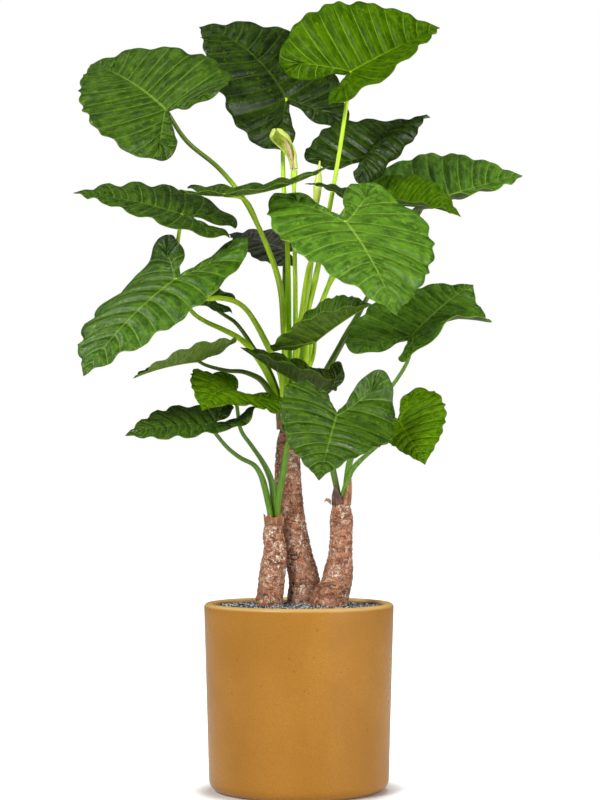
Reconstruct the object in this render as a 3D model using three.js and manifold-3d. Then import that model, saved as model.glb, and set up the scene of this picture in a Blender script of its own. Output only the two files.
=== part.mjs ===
// A calidora alocasia with three woody stems in a glazed ceramic pot.
// Millimetres, +Z up. The front of the plant looks towards -Y and +X is on its right.
// The origin is the centre of the pot's flat underside.
import * as THREE from "three";
import { mergeVertices } from "three/addons/utils/BufferGeometryUtils.js";
import Module from "manifold-3d";

const wasm = await Module();
wasm.setup();

// Driving dimensions
const gap = 0.3;
const pot = { rimRadius: 175, footRadius: 166, height: 344, wall: 16, floor: 18, footRound: 22, rimRound: 7,
  sides: 44 };
const soil = { top: 322 };
const grit = { edge: 335, crown: 340, grain: 1.2 };
const stemSides = 14;
const blade = { thickness: 1.2, rings: 3 };
const stalkSides = 6;
const stalkSteps = 11;
const up = new THREE.Vector3(0, 0, 1);

// Colours and finishes
const finish = {
  glaze: { color: 0xb8863c, roughness: 0.3, metalness: 0 },
  soil: { color: 0x3b2c20, roughness: 1, metalness: 0 },
  grit: { color: 0x7d8489, roughness: 0.9, metalness: 0 },
  bark: { color: 0x7a4f3a, roughness: 0.85, metalness: 0 },
  paper: { color: 0xb98a60, roughness: 0.9, metalness: 0 },
  darkPaper: { color: 0x5e4038, roughness: 0.9, metalness: 0 },
  leaf: { color: 0x3f7d1e, roughness: 0.35, metalness: 0 },
  stalk: { color: 0x7db52a, roughness: 0.4, metalness: 0 },
  spathe: { color: 0xd3dc7a, roughness: 0.5, metalness: 0 },
  spadix: { color: 0xf0d8c0, roughness: 0.6, metalness: 0 },
};

const root = new THREE.Group();

function vector(place) {
  return new THREE.Vector3(...place);
}

function addPart(name, geometry, look) {
  const mesh = new THREE.Mesh(geometry, new THREE.MeshStandardMaterial(finish[look]));
  mesh.name = name;
  root.add(mesh);
}

// A closed geometry as a solid that can be cut, and back again.
function solidOf(geometry) {
  const bare = geometry.clone();
  bare.deleteAttribute("normal");
  bare.deleteAttribute("uv");
  const merged = mergeVertices(bare, 1e-3);
  const vertProperties = merged.attributes.position.array;
  const triVerts = new Uint32Array(merged.index.array);
  return new wasm.Manifold(new wasm.Mesh({ numProp: 3, vertProperties, triVerts }));
}

function geometryOf(solid) {
  const { vertProperties, triVerts } = solid.getMesh();
  const geometry = new THREE.BufferGeometry();
  geometry.setAttribute("position", new THREE.BufferAttribute(vertProperties, 3));
  geometry.setIndex(new THREE.BufferAttribute(triVerts, 1));
  geometry.computeVertexNormals();
  return geometry;
}

function cut(solid, cutters) {
  return cutters.reduce((left, cutter) => left.subtract(cutter), solid);
}

// Cutting can leave a loose scrap beside the piece itself, so the largest body is kept.
function largestBody(solid) {
  return solid.decompose().sort((a, b) => b.volume() - a.volume())[0];
}

// A solid of revolution round Z, from a profile of [radius, height] pairs that runs up its outside.
function turned(profile, sides) {
  const points = profile.map(([radius, height]) => new THREE.Vector2(radius, height));
  return new THREE.LatheGeometry(points, sides).rotateX(Math.PI / 2);
}

function roundCorner(centreRadius, centreHeight, radius, fromDegrees, toDegrees, steps) {
  const points = [];
  for (let i = 0; i <= steps; i++) {
    const angle = THREE.MathUtils.degToRad(fromDegrees + ((toDegrees - fromDegrees) * i) / steps);
    points.push([centreRadius + radius * Math.cos(angle), centreHeight + radius * Math.sin(angle)]);
  }
  return points;
}

// A closed tube with round sections along a smooth curve. radiusAt takes 0 at the foot to 1 at the end.
function bentTube(points, radiusAt, sides, steps) {
  const curve = new THREE.CatmullRomCurve3(points, false, "centripetal");
  const frames = curve.computeFrenetFrames(steps, false);
  const geometry = new THREE.CylinderGeometry(1, 1, 1, sides, steps);
  const position = geometry.attributes.position;
  for (let i = 0; i < position.count; i++) {
    const along = position.getY(i) + 0.5;
    const step = Math.round(along * steps);
    const radius = radiusAt(along);
    const place = curve.getPointAt(step / steps);
    place.addScaledVector(frames.binormals[step], position.getX(i) * radius);
    place.addScaledVector(frames.normals[step], position.getZ(i) * radius);
    position.setXYZ(i, place.x, place.y, place.z);
  }
  return geometry;
}

// A thin solid on both sides of a sheet of triangles, with the same triangles on its two faces.
function thicken(points, triangles, half) {
  const normals = points.map(() => new THREE.Vector3());
  for (const [a, b, c] of triangles) {
    const ab = points[b].clone().sub(points[a]);
    const ac = points[c].clone().sub(points[a]);
    const normal = ab.cross(ac).normalize();
    for (const corner of [a, b, c]) normals[corner].add(normal);
  }
  const count = points.length;
  const places = [];
  for (const side of [1, -1]) {
    points.forEach((point, i) => {
      places.push(...point.clone().addScaledVector(normals[i].normalize(), side * half).toArray());
    });
  }
  const index = [];
  const borders = new Map();
  for (const [a, b, c] of triangles) {
    index.push(a, b, c, count + a, count + c, count + b);
    for (const [from, to] of [[a, b], [b, c], [c, a]]) {
      if (!borders.delete(`${to} ${from}`)) borders.set(`${from} ${to}`, [from, to]);
    }
  }
  for (const [from, to] of borders.values()) {
    index.push(from, count + from, to, to, count + from, count + to);
  }
  const geometry = new THREE.BufferGeometry();
  geometry.setAttribute("position", new THREE.Float32BufferAttribute(places, 3));
  geometry.setIndex(index);
  geometry.computeVertexNormals();
  return geometry;
}

// How far a strip gets, along and up, when it starts at an angle and turns steadily with its length.
function arc(length, start, turn) {
  if (Math.abs(turn) < 1e-3) return [length * Math.cos(start), length * Math.sin(start)];
  const end = start + turn * length;
  return [(Math.sin(end) - Math.sin(start)) / turn, (Math.cos(start) - Math.cos(end)) / turn];
}

// One half of the heart-shaped leaf, flat, in units of its midrib: [along, across].
// It runs from the notch round the basal lobe and along the outer margin to the tip.
const margin = new THREE.SplineCurve(
  [
    [-0.06, 0], [-0.15, 0.06], [-0.29, 0.1], [-0.42, 0.18],
    [-0.5, 0.32], [-0.45, 0.46],
    [-0.3, 0.57], [-0.12, 0.635],
    [0.08, 0.65], [0.28, 0.61], [0.47, 0.51], [0.64, 0.38], [0.8, 0.225], [0.91, 0.09], [1, 0],
  ].map(([along, across]) => new THREE.Vector2(along, across)),
);
const marginSpans = 14;
const junction = new THREE.Vector2(0, 0);
const lobeRibEnd = new THREE.Vector2(-0.32, 0.29);
const leafTip = new THREE.Vector2(1, 0);
// Side veins run from a rib to the margin in four fields.
const veinFields = [
  { from: junction, to: lobeRibEnd, marginFrom: 0, marginTo: 3, veins: 3 },
  { from: lobeRibEnd, to: lobeRibEnd, marginFrom: 3, marginTo: 5, veins: 2 },
  { from: lobeRibEnd, to: junction, marginFrom: 5, marginTo: 8, veins: 3 },
  { from: junction, to: leafTip, marginFrom: 8, marginTo: 14, veins: 8 },
];

// The two ends of each side vein on the flat half leaf.
function sideVeins() {
  const veins = [];
  for (const field of veinFields) {
    for (let i = 0; i < field.veins; i++) {
      const share = i / field.veins;
      const onMargin = field.marginFrom + (field.marginTo - field.marginFrom) * share;
      veins.push([field.from.clone().lerp(field.to, share), margin.getPoint(onMargin / marginSpans)]);
    }
  }
  veins.push([leafTip, leafTip]);
  return veins;
}

// Where a point of the flat leaf lies once the leaf is bent. side is 1 on the right half
// and -1 on the left.
function bentPlace(leaf, axes, along, across, side, ripple) {
  const [foldDegrees, curlDegrees, openingDegrees = 0] = side > 0 ? leaf.right : leaf.left;
  const droop = THREE.MathUtils.degToRad(leaf.droop);
  const lobeRise = THREE.MathUtils.degToRad(side > 0 ? leaf.lobes[1] : leaf.lobes[0]);
  const turn = along > 0 ? -droop : lobeRise / 0.45;
  const length = along > 0 ? along : along * (side > 0 ? leaf.reach[1] : leaf.reach[0]);
  const [forward, rise] = arc(length, droop / 2, turn);
  const slope = droop / 2 + turn * length;
  const outward = axes.right.clone().multiplyScalar(side);
  const normal = axes.up.clone().multiplyScalar(Math.cos(slope));
  normal.addScaledVector(axes.forward, -Math.sin(slope));
  const fold = THREE.MathUtils.degToRad(foldDegrees - openingDegrees * Math.max(0, along));
  const curl = THREE.MathUtils.degToRad(curlDegrees) / 0.65;
  const breadth = across * (side > 0 ? leaf.breadth[1] : leaf.breadth[0]);
  const [out, lift] = arc(breadth, fold, curl);
  const tilt = fold + curl * breadth;
  return axes.origin.clone()
    .addScaledVector(axes.forward, forward * axes.size)
    .addScaledVector(axes.up, rise * axes.size)
    .addScaledVector(outward, (out - Math.sin(tilt) * ripple) * axes.size)
    .addScaledVector(normal, (lift + Math.cos(tilt) * ripple) * axes.size);
}

// The directions of a leaf: forward to its tip, up out of its upper face, and right.
function leafAxes(leaf) {
  const origin = vector(leaf.junction);
  const forward = vector(leaf.tip).sub(origin);
  const chord = forward.length();
  forward.normalize();
  const upward = vector(leaf.facing);
  upward.addScaledVector(forward, -upward.dot(forward)).normalize();
  const right = forward.clone().cross(upward);
  const halfDroop = THREE.MathUtils.degToRad(leaf.droop) / 2;
  const size = (chord * halfDroop) / Math.sin(halfDroop);
  return { origin, forward, up: upward, right, size };
}

// The sheet of a leaf: its welded points and its triangles, seen from the upper face.
function leafSheet(leaf) {
  const axes = leafAxes(leaf);
  const veins = sideVeins();
  const points = [];
  const triangles = [];
  const welded = new Map();
  function pointAt(vein, ring, side) {
    const share = ring / blade.rings;
    const [start, end] = veins[vein];
    const along = start.x + (end.x - start.x) * share - 0.06 * share * (1 - share);
    const across = start.y + (end.y - start.y) * share;
    const key = `${along.toFixed(4)} ${(across * side).toFixed(4)}`.replace("-0.0000", "0.0000");
    if (!welded.has(key)) {
      const wave = bladeWave * (vein % 2 ? 1 : -1) * share ** 2 * Math.min(1, 6 * across);
      welded.set(key, points.length);
      points.push(bentPlace(leaf, axes, along, across, side, wave));
    }
    return welded.get(key);
  }
  function addTriangle(a, b, c, side) {
    if (a === b || b === c || c === a) return;
    triangles.push(side > 0 ? [a, b, c] : [a, c, b]);
  }
  for (const side of [1, -1]) {
    for (let vein = 0; vein < veins.length - 1; vein++) {
      for (let ring = 0; ring < blade.rings; ring++) {
        const near = pointAt(vein, ring, side);
        const far = pointAt(vein, ring + 1, side);
        const nextNear = pointAt(vein + 1, ring, side);
        const nextFar = pointAt(vein + 1, ring + 1, side);
        addTriangle(near, far, nextFar, side);
        addTriangle(near, nextFar, nextNear, side);
      }
    }
  }
  return { points, triangles };
}

// how far the margin swings up and down at each vein, as a share of the leaf's length
const bladeWave = 0.02;

// Leaves. junction and tip are the two ends of the midrib and facing is where the upper face looks.
// left and right are [fold, curl] of each half in degrees, up being positive; a third number is how
// far the half opens again towards the tip.
const leaves = [
  { name: "01", junction: [-245, -40, 1252], tip: [-395, 81, 1357], facing: [0, -0.61, 0.79],
    breadth: [1.08, 1.08], droop: 30, lobes: [-12, 40], reach: [0.9, 0.42], left: [6, -4], right: [26, -30] },
  { name: "02", junction: [-25, 140, 1303], tip: [-195, 200, 1452], facing: [0.27, -0.7, 0.66],
    breadth: [0.97, 1.0], droop: 60, lobes: [20, 20], reach: [0.72, 0.85], left: [8, -15], right: [8, -20] },
  { name: "03", junction: [98, 50, 1338], tip: [269, 105, 1432], facing: [0.2, -0.92, 0.35],
    breadth: [1.14, 1.1], droop: 15, lobes: [-25, -30], reach: [1.05, 0.62], left: [5, -15],
    right: [48, 10, -15] },
  { name: "04", junction: [132, 100, 1187], tip: [255, 180, 1272], facing: [-0.15, -0.45, 0.85],
    breadth: [0.97, 0.7], droop: 40, lobes: [32, 5], reach: [1.5, 0.8], left: [33, -10, 50],
    right: [60, -300] },
  { name: "05", junction: [244, 190, 1105], tip: [437, 210, 1162], facing: [-0.15, -0.65, 0.74],
    breadth: [1, 0.85], droop: 10, lobes: [0, 0], reach: [1.4, 1], left: [16, -10], right: [10, 60] },
  { name: "06", junction: [169, 75, 1092], tip: [304, 45, 1064], facing: [0, -0.6, 0.8],
    breadth: [1.05, 0.65], droop: 30, lobes: [0, 0], reach: [1, 1], left: [12, -10], right: [36, 0] },
  { name: "07", junction: [98, 0, 1093], tip: [11, -40, 1115], facing: [0, 0.1, 1],
    breadth: [0.42, 0.65], droop: 30, lobes: [0, 0], reach: [1, 1], left: [5, 0], right: [20, -20] },
  { name: "08", junction: [-136, -95, 1088], tip: [58, -110, 1140], facing: [0, 0, 1],
    breadth: [0.8, 0.8], droop: -30, lobes: [10, 10], reach: [0.75, 0.75], left: [20, -10], right: [-8, 10] },
  { name: "09", junction: [-214, -60, 1056], tip: [-413, -60, 1096], facing: [0, -0.4, 0.9],
    breadth: [1.0, 1.12], droop: 15, lobes: [4, -14], reach: [0.96, 1.02], left: [10, -5], right: [3, -8] },
  { name: "10", junction: [84, -140, 1034], tip: [168, -290, 857], facing: [0.2, -0.7, 0.7],
    breadth: [1.08, 0.88], droop: 25, lobes: [14, 0], reach: [1.06, 0.97], left: [-8, 0, 30],
    right: [8, -20] },
  { name: "11", junction: [-27, 145, 1010], tip: [-138, 215, 1048], facing: [0, -0.4, 0.9],
    breadth: [0.9, 0.9], droop: 20, lobes: [0, 0], reach: [0.75, 0.75], left: [10, -20], right: [10, -20] },
  { name: "12", junction: [-222, -135, 931], tip: [-376, -235, 754], facing: [-0.54, -0.37, 0.75],
    breadth: [0.7, 1.3], droop: 20, lobes: [12, 60], reach: [1.05, 0.85], left: [-10, -15, 15],
    right: [6, -15] },
  { name: "13", junction: [-188, 95, 920], tip: [-321, 95, 938], facing: [0, -0.4, 0.9],
    breadth: [0.9, 0.9], droop: 30, lobes: [0, 0], reach: [1, 1], left: [16, -20], right: [10, -20] },
  { name: "14", junction: [30, -65, 824], tip: [131, -130, 887], facing: [0, 0, 1],
    breadth: [1, 1], droop: 10, lobes: [20, 20], reach: [1, 1], left: [68, -20], right: [15, -10] },
  { name: "15", junction: [209, -20, 836], tip: [332, 110, 941], facing: [-0.11, -0.49, 0.86],
    breadth: [0.9, 1.06], droop: 20, lobes: [15, 0], reach: [1, 1], left: [16, -20], right: [34, 0, 80] },
  { name: "16", junction: [-185, -40, 789], tip: [-298, -120, 754], facing: [0, 0.05, 1],
    breadth: [0.85, 0.85], droop: 15, lobes: [20, 35], reach: [1, 1], left: [25, 0], right: [5, -10] },
  { name: "17", junction: [31, -65, 733], tip: [-106, -105, 811], facing: [0, -0.2, 1],
    breadth: [0.75, 0.75], droop: -10, lobes: [60, 90], reach: [0.4, 1.3], left: [20, 20], right: [30, -10] },
  { name: "18", junction: [-117, -60, 733], tip: [-172, -170, 695], facing: [0, 0, 1],
    breadth: [1.1, 0.9], droop: 60, lobes: [40, 70], reach: [1, 1], left: [-15, -20], right: [32, -5] },
  { name: "19", junction: [-162, -90, 673], tip: [-310, -150, 651], facing: [0, -0.35, 0.9],
    breadth: [0.7, 0.8], droop: 20, lobes: [50, 40], reach: [1.15, 0.82], left: [14, -12, 30],
    right: [8, -8] },
  { name: "20", junction: [66, -215, 686], tip: [34, -330, 573], facing: [0.18, -0.7, 0.7],
    breadth: [1.0, 0.98], droop: 25, lobes: [45, 0], reach: [1.38, 0.64], left: [1, -17, -36],
    right: [24, -20, 45] },
  { name: "21", junction: [183, -60, 678], tip: [225, -150, 599], facing: [-0.36, -0.71, 0.6],
    breadth: [1.08, 0.5], droop: 25, lobes: [0, 0], reach: [1.1, 1], left: [3, -5, 20], right: [10, -20] },
];

for (const leaf of leaves) {
  const { points, triangles } = leafSheet(leaf);
  addPart(`blade_${leaf.name}`, thicken(points, triangles, blade.thickness / 2), "leaf");
}

// Woody stems. Each section is [x, y, z, radius], and the lowest one is the foot in the soil.
const stems = {
  left: [
    [-55, -5, 282, 24], [-55, -5, 343, 25], [-52, -5, 370, 24.4], [-48, -5, 405, 24], [-44, -5, 445, 20.5],
    [-48, -5, 474, 18.5], [-46, -5, 490, 15], [-46, -5, 501.7, 15],
  ],
  middle: [
    [9, 40, 282, 30], [8.5, 40, 342, 31], [10, 40, 381, 29], [-2, 40, 432, 26.5], [-15, 40, 501, 26],
    [-19, 40, 540, 25.5], [-21, 40, 591, 24], [-19, 40, 641, 22], [-14, 40, 660, 22], [-12, 40, 684, 27],
    [-12, 40, 699.7, 29],
  ],
  right: [
    [54, -10, 282, 33], [55, -10, 341, 34], [58, -10, 352, 33], [68, -10, 376, 29], [73, -10, 402, 27],
    [76, -10, 426, 22.8], [78, -10, 468, 20.6], [78.5, -10, 502, 21], [78, -10, 520, 17],
    [78, -10, 536.7, 15.5],
  ],
};

// A stem as stacked round sections, made larger all round by extra.
function stemSolid(sections, extra) {
  const last = sections.length - 1;
  const geometry = new THREE.CylinderGeometry(1, 1, 1, stemSides, last);
  const position = geometry.attributes.position;
  for (let i = 0; i < position.count; i++) {
    const step = Math.round((position.getY(i) + 0.5) * last);
    const [x, y, z, radius] = sections[step];
    const end = step === 0 ? -extra : step === last ? extra : 0;
    const reach = radius + extra;
    position.setXYZ(i, x + position.getX(i) * reach, y - position.getZ(i) * reach, z + end);
  }
  return solidOf(geometry);
}

// Leaf stalks, inner ones first. way runs from the crown to just before the junction of the blade, and
// radius is [foot, end]. An outer stalk is hollowed where it leans on an inner one.
const stalks = [
  { name: "03", stem: "middle", radius: [5.6, 3.6], way: [
    [-12, 40, 700], [-7, 43, 740], [4, 50, 813], [14, 51, 880], [29, 48, 939], [56, 36, 1072],
    [71, 33, 1155], [83, 35, 1231]] },
  { name: "01", stem: "middle", radius: [5.6, 4.2], way: [
    [-22, 46, 700], [-28, 40, 850], [-35, 30, 931], [-55, 18, 994], [-100, 15, 1089], [-149, 18, 1151],
    [-209, -5, 1200]] },
  { name: "02", stem: "middle", radius: [5.6, 3.8], way: [
    [-12, 52, 700], [-19, 52, 814], [-20, 50, 939], [-22, 60, 1015], [-30, 105, 1153], [-30, 130, 1238]] },
  { name: "04", stem: "middle", radius: [5.6, 3.6], way: [
    [-2, 46, 700], [20, 57, 820], [47, 63, 914], [57, 66, 940], [87, 80, 1032], [112, 92, 1110]] },
  { name: "08", stem: "middle", radius: [5.6, 3.4], way: [
    [-22, 34, 700], [-28, 18, 848], [-35, 5, 926], [-55, -10, 992], [-70, -28, 1027], [-97, -50, 1083]] },
  { name: "12", stem: "middle", radius: [5.6, 4.4], way: [
    [-28, 24, 700], [-33, 15, 764], [-46, 8, 795], [-65, -2, 833], [-79, -10, 859], [-98, -20, 886],
    [-117, -34, 899], [-143, -48, 904], [-167, -70, 902], [-196, -105, 912]] },
  { name: "16", stem: "middle", radius: [5.6, 3], way: [
    [-34, 34, 700], [-69, 30, 755], [-87, 24, 766], [-106, 18, 772], [-132, 6, 773], [-171, -25, 782]] },
  { name: "09", stem: "middle", radius: [5.6, 3.4], way: [
    [-34, 46, 700], [-58, 46, 765], [-90, 42, 815], [-112, 38, 835], [-144, 32, 852], [-175, 25, 866],
    [-197, 16, 881], [-220, 12, 922], [-227, 0, 985], [-221, -25, 1028]] },
  { name: "13", stem: "middle", radius: [5.6, 3], way: [
    [-28, 56, 700], [-60, 66, 782], [-81, 72, 811], [-100, 78, 841], [-121, 86, 868], [-150, 94, 888]] },
  { name: "11", stem: "middle", radius: [5.6, 3.2], way: [
    [-18, 62, 700], [-28, 82, 851], [-28, 118, 965]] },
  { name: "05", stem: "middle", radius: [5.6, 3.6], way: [
    [4, 56, 700], [43, 54, 761], [66, 55, 801], [92, 62, 848], [106, 70, 871], [164, 110, 978],
    [218, 160, 1060]] },
  { name: "06", stem: "middle", radius: [5.6, 3.4], way: [
    [10, 46, 700], [24, 41, 830], [46, 40, 912], [60, 40, 942], [133, 45, 1038]] },
  { name: "07", stem: "middle", radius: [5.6, 3], way: [
    [10, 34, 700], [15, 24, 829], [18, 22, 880], [28, 20, 937], [58, 15, 1026]] },
  { name: "10", stem: "middle", radius: [5.6, 4], way: [
    [-6, 18, 700], [-4, 14, 812], [5, 9, 877], [13, 0, 936], [22, -42, 971], [45, -87, 1001]] },
  { name: "14", stem: "middle", radius: [5.6, 3], way: [[4, 24, 700], [15, 12, 765], [26, -2, 798]] },
  { name: "15", stem: "right", radius: [5.2, 3.2], way: [
    [84, -6, 537], [95, 0, 607], [124, 5, 672], [150, 0, 719], [178, -5, 752], [200, -12, 788],
    [207, -16, 812]] },
  { name: "17", stem: "right", radius: [5.2, 3.2], way: [
    [74, -4, 537], [67, -8, 570], [57, -18, 617], [42, -40, 690]] },
  { name: "21", stem: "right", radius: [5.2, 3.2], way: [
    [79, -18, 537], [87, -22, 563], [96, -28, 587], [112, -33, 606], [145, -42, 635], [170, -52, 662]] },
  { name: "18", stem: "left", radius: [5.2, 3.2], way: [
    [-46, 2, 502], [-50, -5, 563], [-57, -12, 585], [-70, -22, 609], [-88, -30, 635], [-106, -40, 662],
    [-113, -50, 703]] },
  { name: "19", stem: "left", radius: [5.2, 3.4], way: [
    [-52, -9, 502], [-57, -13, 530], [-61, -20, 550], [-70, -32, 580], [-82, -42, 598], [-106, -55, 611],
    [-129, -68, 629], [-152, -84, 657]] },
  { name: "20", stem: "left", radius: [5.2, 4], way: [
    [-40, -10, 502], [-37, -25, 541], [-27, -50, 593], [-17, -85, 644], [23, -160, 672]] },
];
const flowerStalk = { radius: [5.6, 3.6], way: [
  [-12, 28, 700], [-7, 33, 813], [-7, 31, 937], [-9, 25, 1054], [-9, 20, 1148]] };
const flowerBud = { way: [[-2, 34, 700], [5, 36, 813], [12, 35, 880], [19, 36, 938], [27, 33, 1018],
  [32, 30, 1083], [39, 30, 1167]] };

// Radii of the two flowering stalks, which swell under the spathe and into the closed bud.
function knobRadius(along) {
  return THREE.MathUtils.lerp(5.6, 3.6, along) + 2.8 * THREE.MathUtils.smoothstep(along, 0.93, 0.97);
}

function budRadius(along) {
  const swelling = THREE.MathUtils.smoothstep(along, 0.78, 0.9) * 4.4;
  return THREE.MathUtils.lerp(5.6, 3.6, along) + swelling - 6.2 * THREE.MathUtils.smoothstep(along, 0.9, 1);
}

const standing = {};
for (const [name, sections] of Object.entries(stems)) standing[name] = [stemSolid(sections, gap)];

// Places one stalk, clear of the stalks already standing on the same stem and of its own blade.
function addStalk(name, stem, way, radiusAt, look, blades, steps = stalkSteps) {
  const points = way.map(vector);
  const own = solidOf(bentTube(points, radiusAt, stalkSides, steps));
  const wide = solidOf(bentTube(points, (along) => radiusAt(along) + gap / Math.cos(Math.PI / stalkSides),
    stalkSides, steps));
  addPart(name, geometryOf(largestBody(cut(own, [...standing[stem], ...blades]))), look);
  standing[stem].push(wide);
}

addStalk("flower_stalk", "middle", flowerStalk.way, knobRadius, "stalk", [], 22);
addStalk("flower_bud", "middle", flowerBud.way, budRadius, "spathe", [], 18);
for (const stalk of stalks) {
  const leaf = leaves.find((one) => one.name === stalk.name);
  const { points, triangles } = leafSheet(leaf);
  const blades = [solidOf(thicken(points, triangles, blade.thickness / 2 + 2 * gap))];
  const [foot, end] = stalk.radius;
  const swell = (along) => 1.2 * Math.sin(Math.PI * Math.min(1, 2 * along));
  const radiusAt = (along) => THREE.MathUtils.lerp(foot, end, along) + swell(along);
  addStalk(`petiole_${stalk.name}`, stalk.stem, [...stalk.way, leaf.junction], radiusAt, "stalk", blades);
}
for (const [name, sections] of Object.entries(stems)) {
  addPart(`stem_${name}`, geometryOf(stemSolid(sections, 0)), "bark");
}

// Papery sheaths of old leaves. Each is a piece of a cone round a stem with a torn upper edge.
const sheaths = [
  { name: "sheath_left", stem: "left", centre: [-46, -5], low: [486, 17.2], high: [509, 19.2],
    turn: [150, 400],
    edge: [0.8, 1, 0.7, 0.95, 0.6, 1, 0.75, 0.9, 0.65], look: "paper" },
  { name: "sheath_middle", stem: "middle", centre: [-12, 40], low: [664, 29.5], high: [722, 31.5],
    turn: [165, 225],
    edge: [0.3, 0.8, 1, 0.7, 0.4], look: "paper" },
  { name: "sheath_right_dark", stem: "right", centre: [78, -10], low: [525, 17.4], high: [562, 18],
    turn: [185, 275],
    edge: [0.3, 0.6, 1, 0.7, 0.3], look: "darkPaper" },
  { name: "sheath_right_pale", stem: "right", centre: [78, -10], low: [524, 17.8], high: [574, 21.5],
    turn: [283, 365],
    edge: [0.3, 0.7, 1, 0.75, 0.3], look: "paper" },
];
for (const sheath of sheaths) {
  const columns = sheath.edge.length;
  const rows = 4;
  const points = [];
  const triangles = [];
  for (let column = 0; column < columns; column++) {
    const angle = THREE.MathUtils.degToRad(THREE.MathUtils.lerp(...sheath.turn, column / (columns - 1)));
    for (let row = 0; row < rows; row++) {
      const share = (sheath.edge[column] * row) / (rows - 1);
      const z = THREE.MathUtils.lerp(sheath.low[0], sheath.high[0], share);
      const radius = THREE.MathUtils.lerp(sheath.low[1], sheath.high[1], share);
      points.push(new THREE.Vector3(
        sheath.centre[0] + radius * Math.cos(angle), sheath.centre[1] + radius * Math.sin(angle), z));
      if (column === 0 || row === 0) continue;
      const corner = column * rows + row;
      triangles.push([corner - 1 - rows, corner - 1, corner], [corner - 1 - rows, corner, corner - rows]);
    }
  }
  const plate = solidOf(thicken(points, triangles, 0.5));
  addPart(sheath.name, geometryOf(largestBody(cut(plate, standing[sheath.stem]))), sheath.look);
}

// A curled scrap of sheath that leans off the right stem.
const scrapPoints = [];
const scrapTriangles = [];
const scrapCurve = new THREE.CatmullRomCurve3([[59.2, -18, 530], [54.5, -20, 534], [50, -21, 535],
  [47.5, -21, 531]].map(vector));
for (let i = 0; i <= 6; i++) {
  const place = scrapCurve.getPoint(i / 6);
  const half = 5 - 0.6 * i;
  scrapPoints.push(place.clone().add(vector([0, -half, -half])),
    place.clone().add(vector([0, half, half * 0.6])));
  if (i === 0) continue;
  scrapTriangles.push([2 * i - 2, 2 * i, 2 * i + 1], [2 * i - 2, 2 * i + 1, 2 * i - 1]);
}
const scrap = cut(solidOf(thicken(scrapPoints, scrapTriangles, 0.5)), standing.right);
addPart("sheath_scrap", geometryOf(largestBody(scrap)), "paper");

// Spathe and spadix. rings is [x, y, z, radius, half angle] up the spathe, a hood that opens to the front.
const spathe = { opening: 258, rings: [
  [-9, 20, 1150.5, 6.6, 165], [-11, 19, 1164, 7.2, 158], [-15, 18, 1178, 10, 125], [-24, 16, 1192, 14, 100],
  [-33, 14, 1203, 17.5, 125], [-37, 13, 1213, 17, 160], [-41, 12, 1224, 8, 172],
] };
const spathePoints = [];
const spatheTriangles = [];
const spatheColumns = 11;
spathe.rings.forEach(([x, y, z, radius, halfAngle], ring) => {
  for (let column = 0; column < spatheColumns; column++) {
    const share = (2 * column) / (spatheColumns - 1) - 1;
    const angle = THREE.MathUtils.degToRad(spathe.opening + 180 + halfAngle * share);
    spathePoints.push(new THREE.Vector3(x + radius * Math.cos(angle), y + radius * Math.sin(angle), z));
    if (column === 0 || ring === 0) continue;
    const corner = ring * spatheColumns + column;
    spatheTriangles.push([corner - 1 - spatheColumns, corner - spatheColumns, corner]);
    spatheTriangles.push([corner - 1 - spatheColumns, corner, corner - 1]);
  }
});
addPart("spathe", thicken(spathePoints, spatheTriangles, 0.6), "spathe");
const spadixWay = [[-9, 20, 1149.1], [-12, 18, 1166], [-18, 15, 1186], [-23, 13, 1203]];
addPart("spadix", bentTube(spadixWay.map(vector), (along) => 4.2 - 1.7 * along ** 4, 8, 8), "spadix");

// Pot
const { rimRadius, footRadius, height, wall, footRound, rimRound } = pot;
addPart("pot", turned(
  [
    [0, 0],
    ...roundCorner(footRadius - footRound, footRound, footRound, -90, 0, 3),
    ...roundCorner(rimRadius - rimRound, height - rimRound, rimRound, 0, 90, 2),
    ...roundCorner(rimRadius - wall + rimRound, height - rimRound, rimRound, 90, 180, 2),
    [footRadius - wall, pot.floor],
    [0, pot.floor],
  ],
  pot.sides,
), "glaze");

// Soil and the grit on it, with plain holes for the stems
const holes = Object.values(stems).map((sections) => stemSolid(sections, gap));
const innerFoot = footRadius - wall;
const innerTop = rimRadius - wall;
function innerRadius(level) {
  const share = (level - pot.floor) / (height - rimRound - pot.floor);
  return THREE.MathUtils.lerp(innerFoot, innerTop, share) - 1.1 * gap;
}
const soilFoot = pot.floor + gap;
const soilSolid = solidOf(turned(
  [[0, soilFoot], [innerRadius(soilFoot), soilFoot], [innerRadius(soil.top), soil.top], [0, soil.top]],
  pot.sides,
));
addPart("soil", geometryOf(cut(soilSolid, holes)), "soil");

const gritFoot = soil.top + gap;
const gritProfile = [[0, gritFoot], [innerRadius(gritFoot), gritFoot], [innerRadius(grit.edge), grit.edge]];
for (let i = 1; i <= 3; i++) {
  const share = i / 4;
  gritProfile.push([innerRadius(grit.edge) * (1 - share),
    THREE.MathUtils.lerp(grit.edge, grit.crown, share)]);
}
gritProfile.push([0, grit.crown]);
const gritBed = turned(gritProfile, pot.sides);
const gritPlaces = gritBed.attributes.position;
for (let i = 0; i < gritPlaces.count; i++) {
  const [x, y, z] = [gritPlaces.getX(i), gritPlaces.getY(i), gritPlaces.getZ(i)];
  if (z < grit.edge - 0.1 || Math.hypot(x, y) < 1) continue;
  gritPlaces.setZ(i, z + grit.grain * Math.sin(x * 0.23 + 1) * Math.cos(y * 0.27));
}
addPart("grit", geometryOf(cut(solidOf(gritBed), holes)), "grit");

export default root;
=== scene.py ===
import math
import random
import bmesh
import bpy
from mathutils import Matrix, Vector, noise


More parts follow.
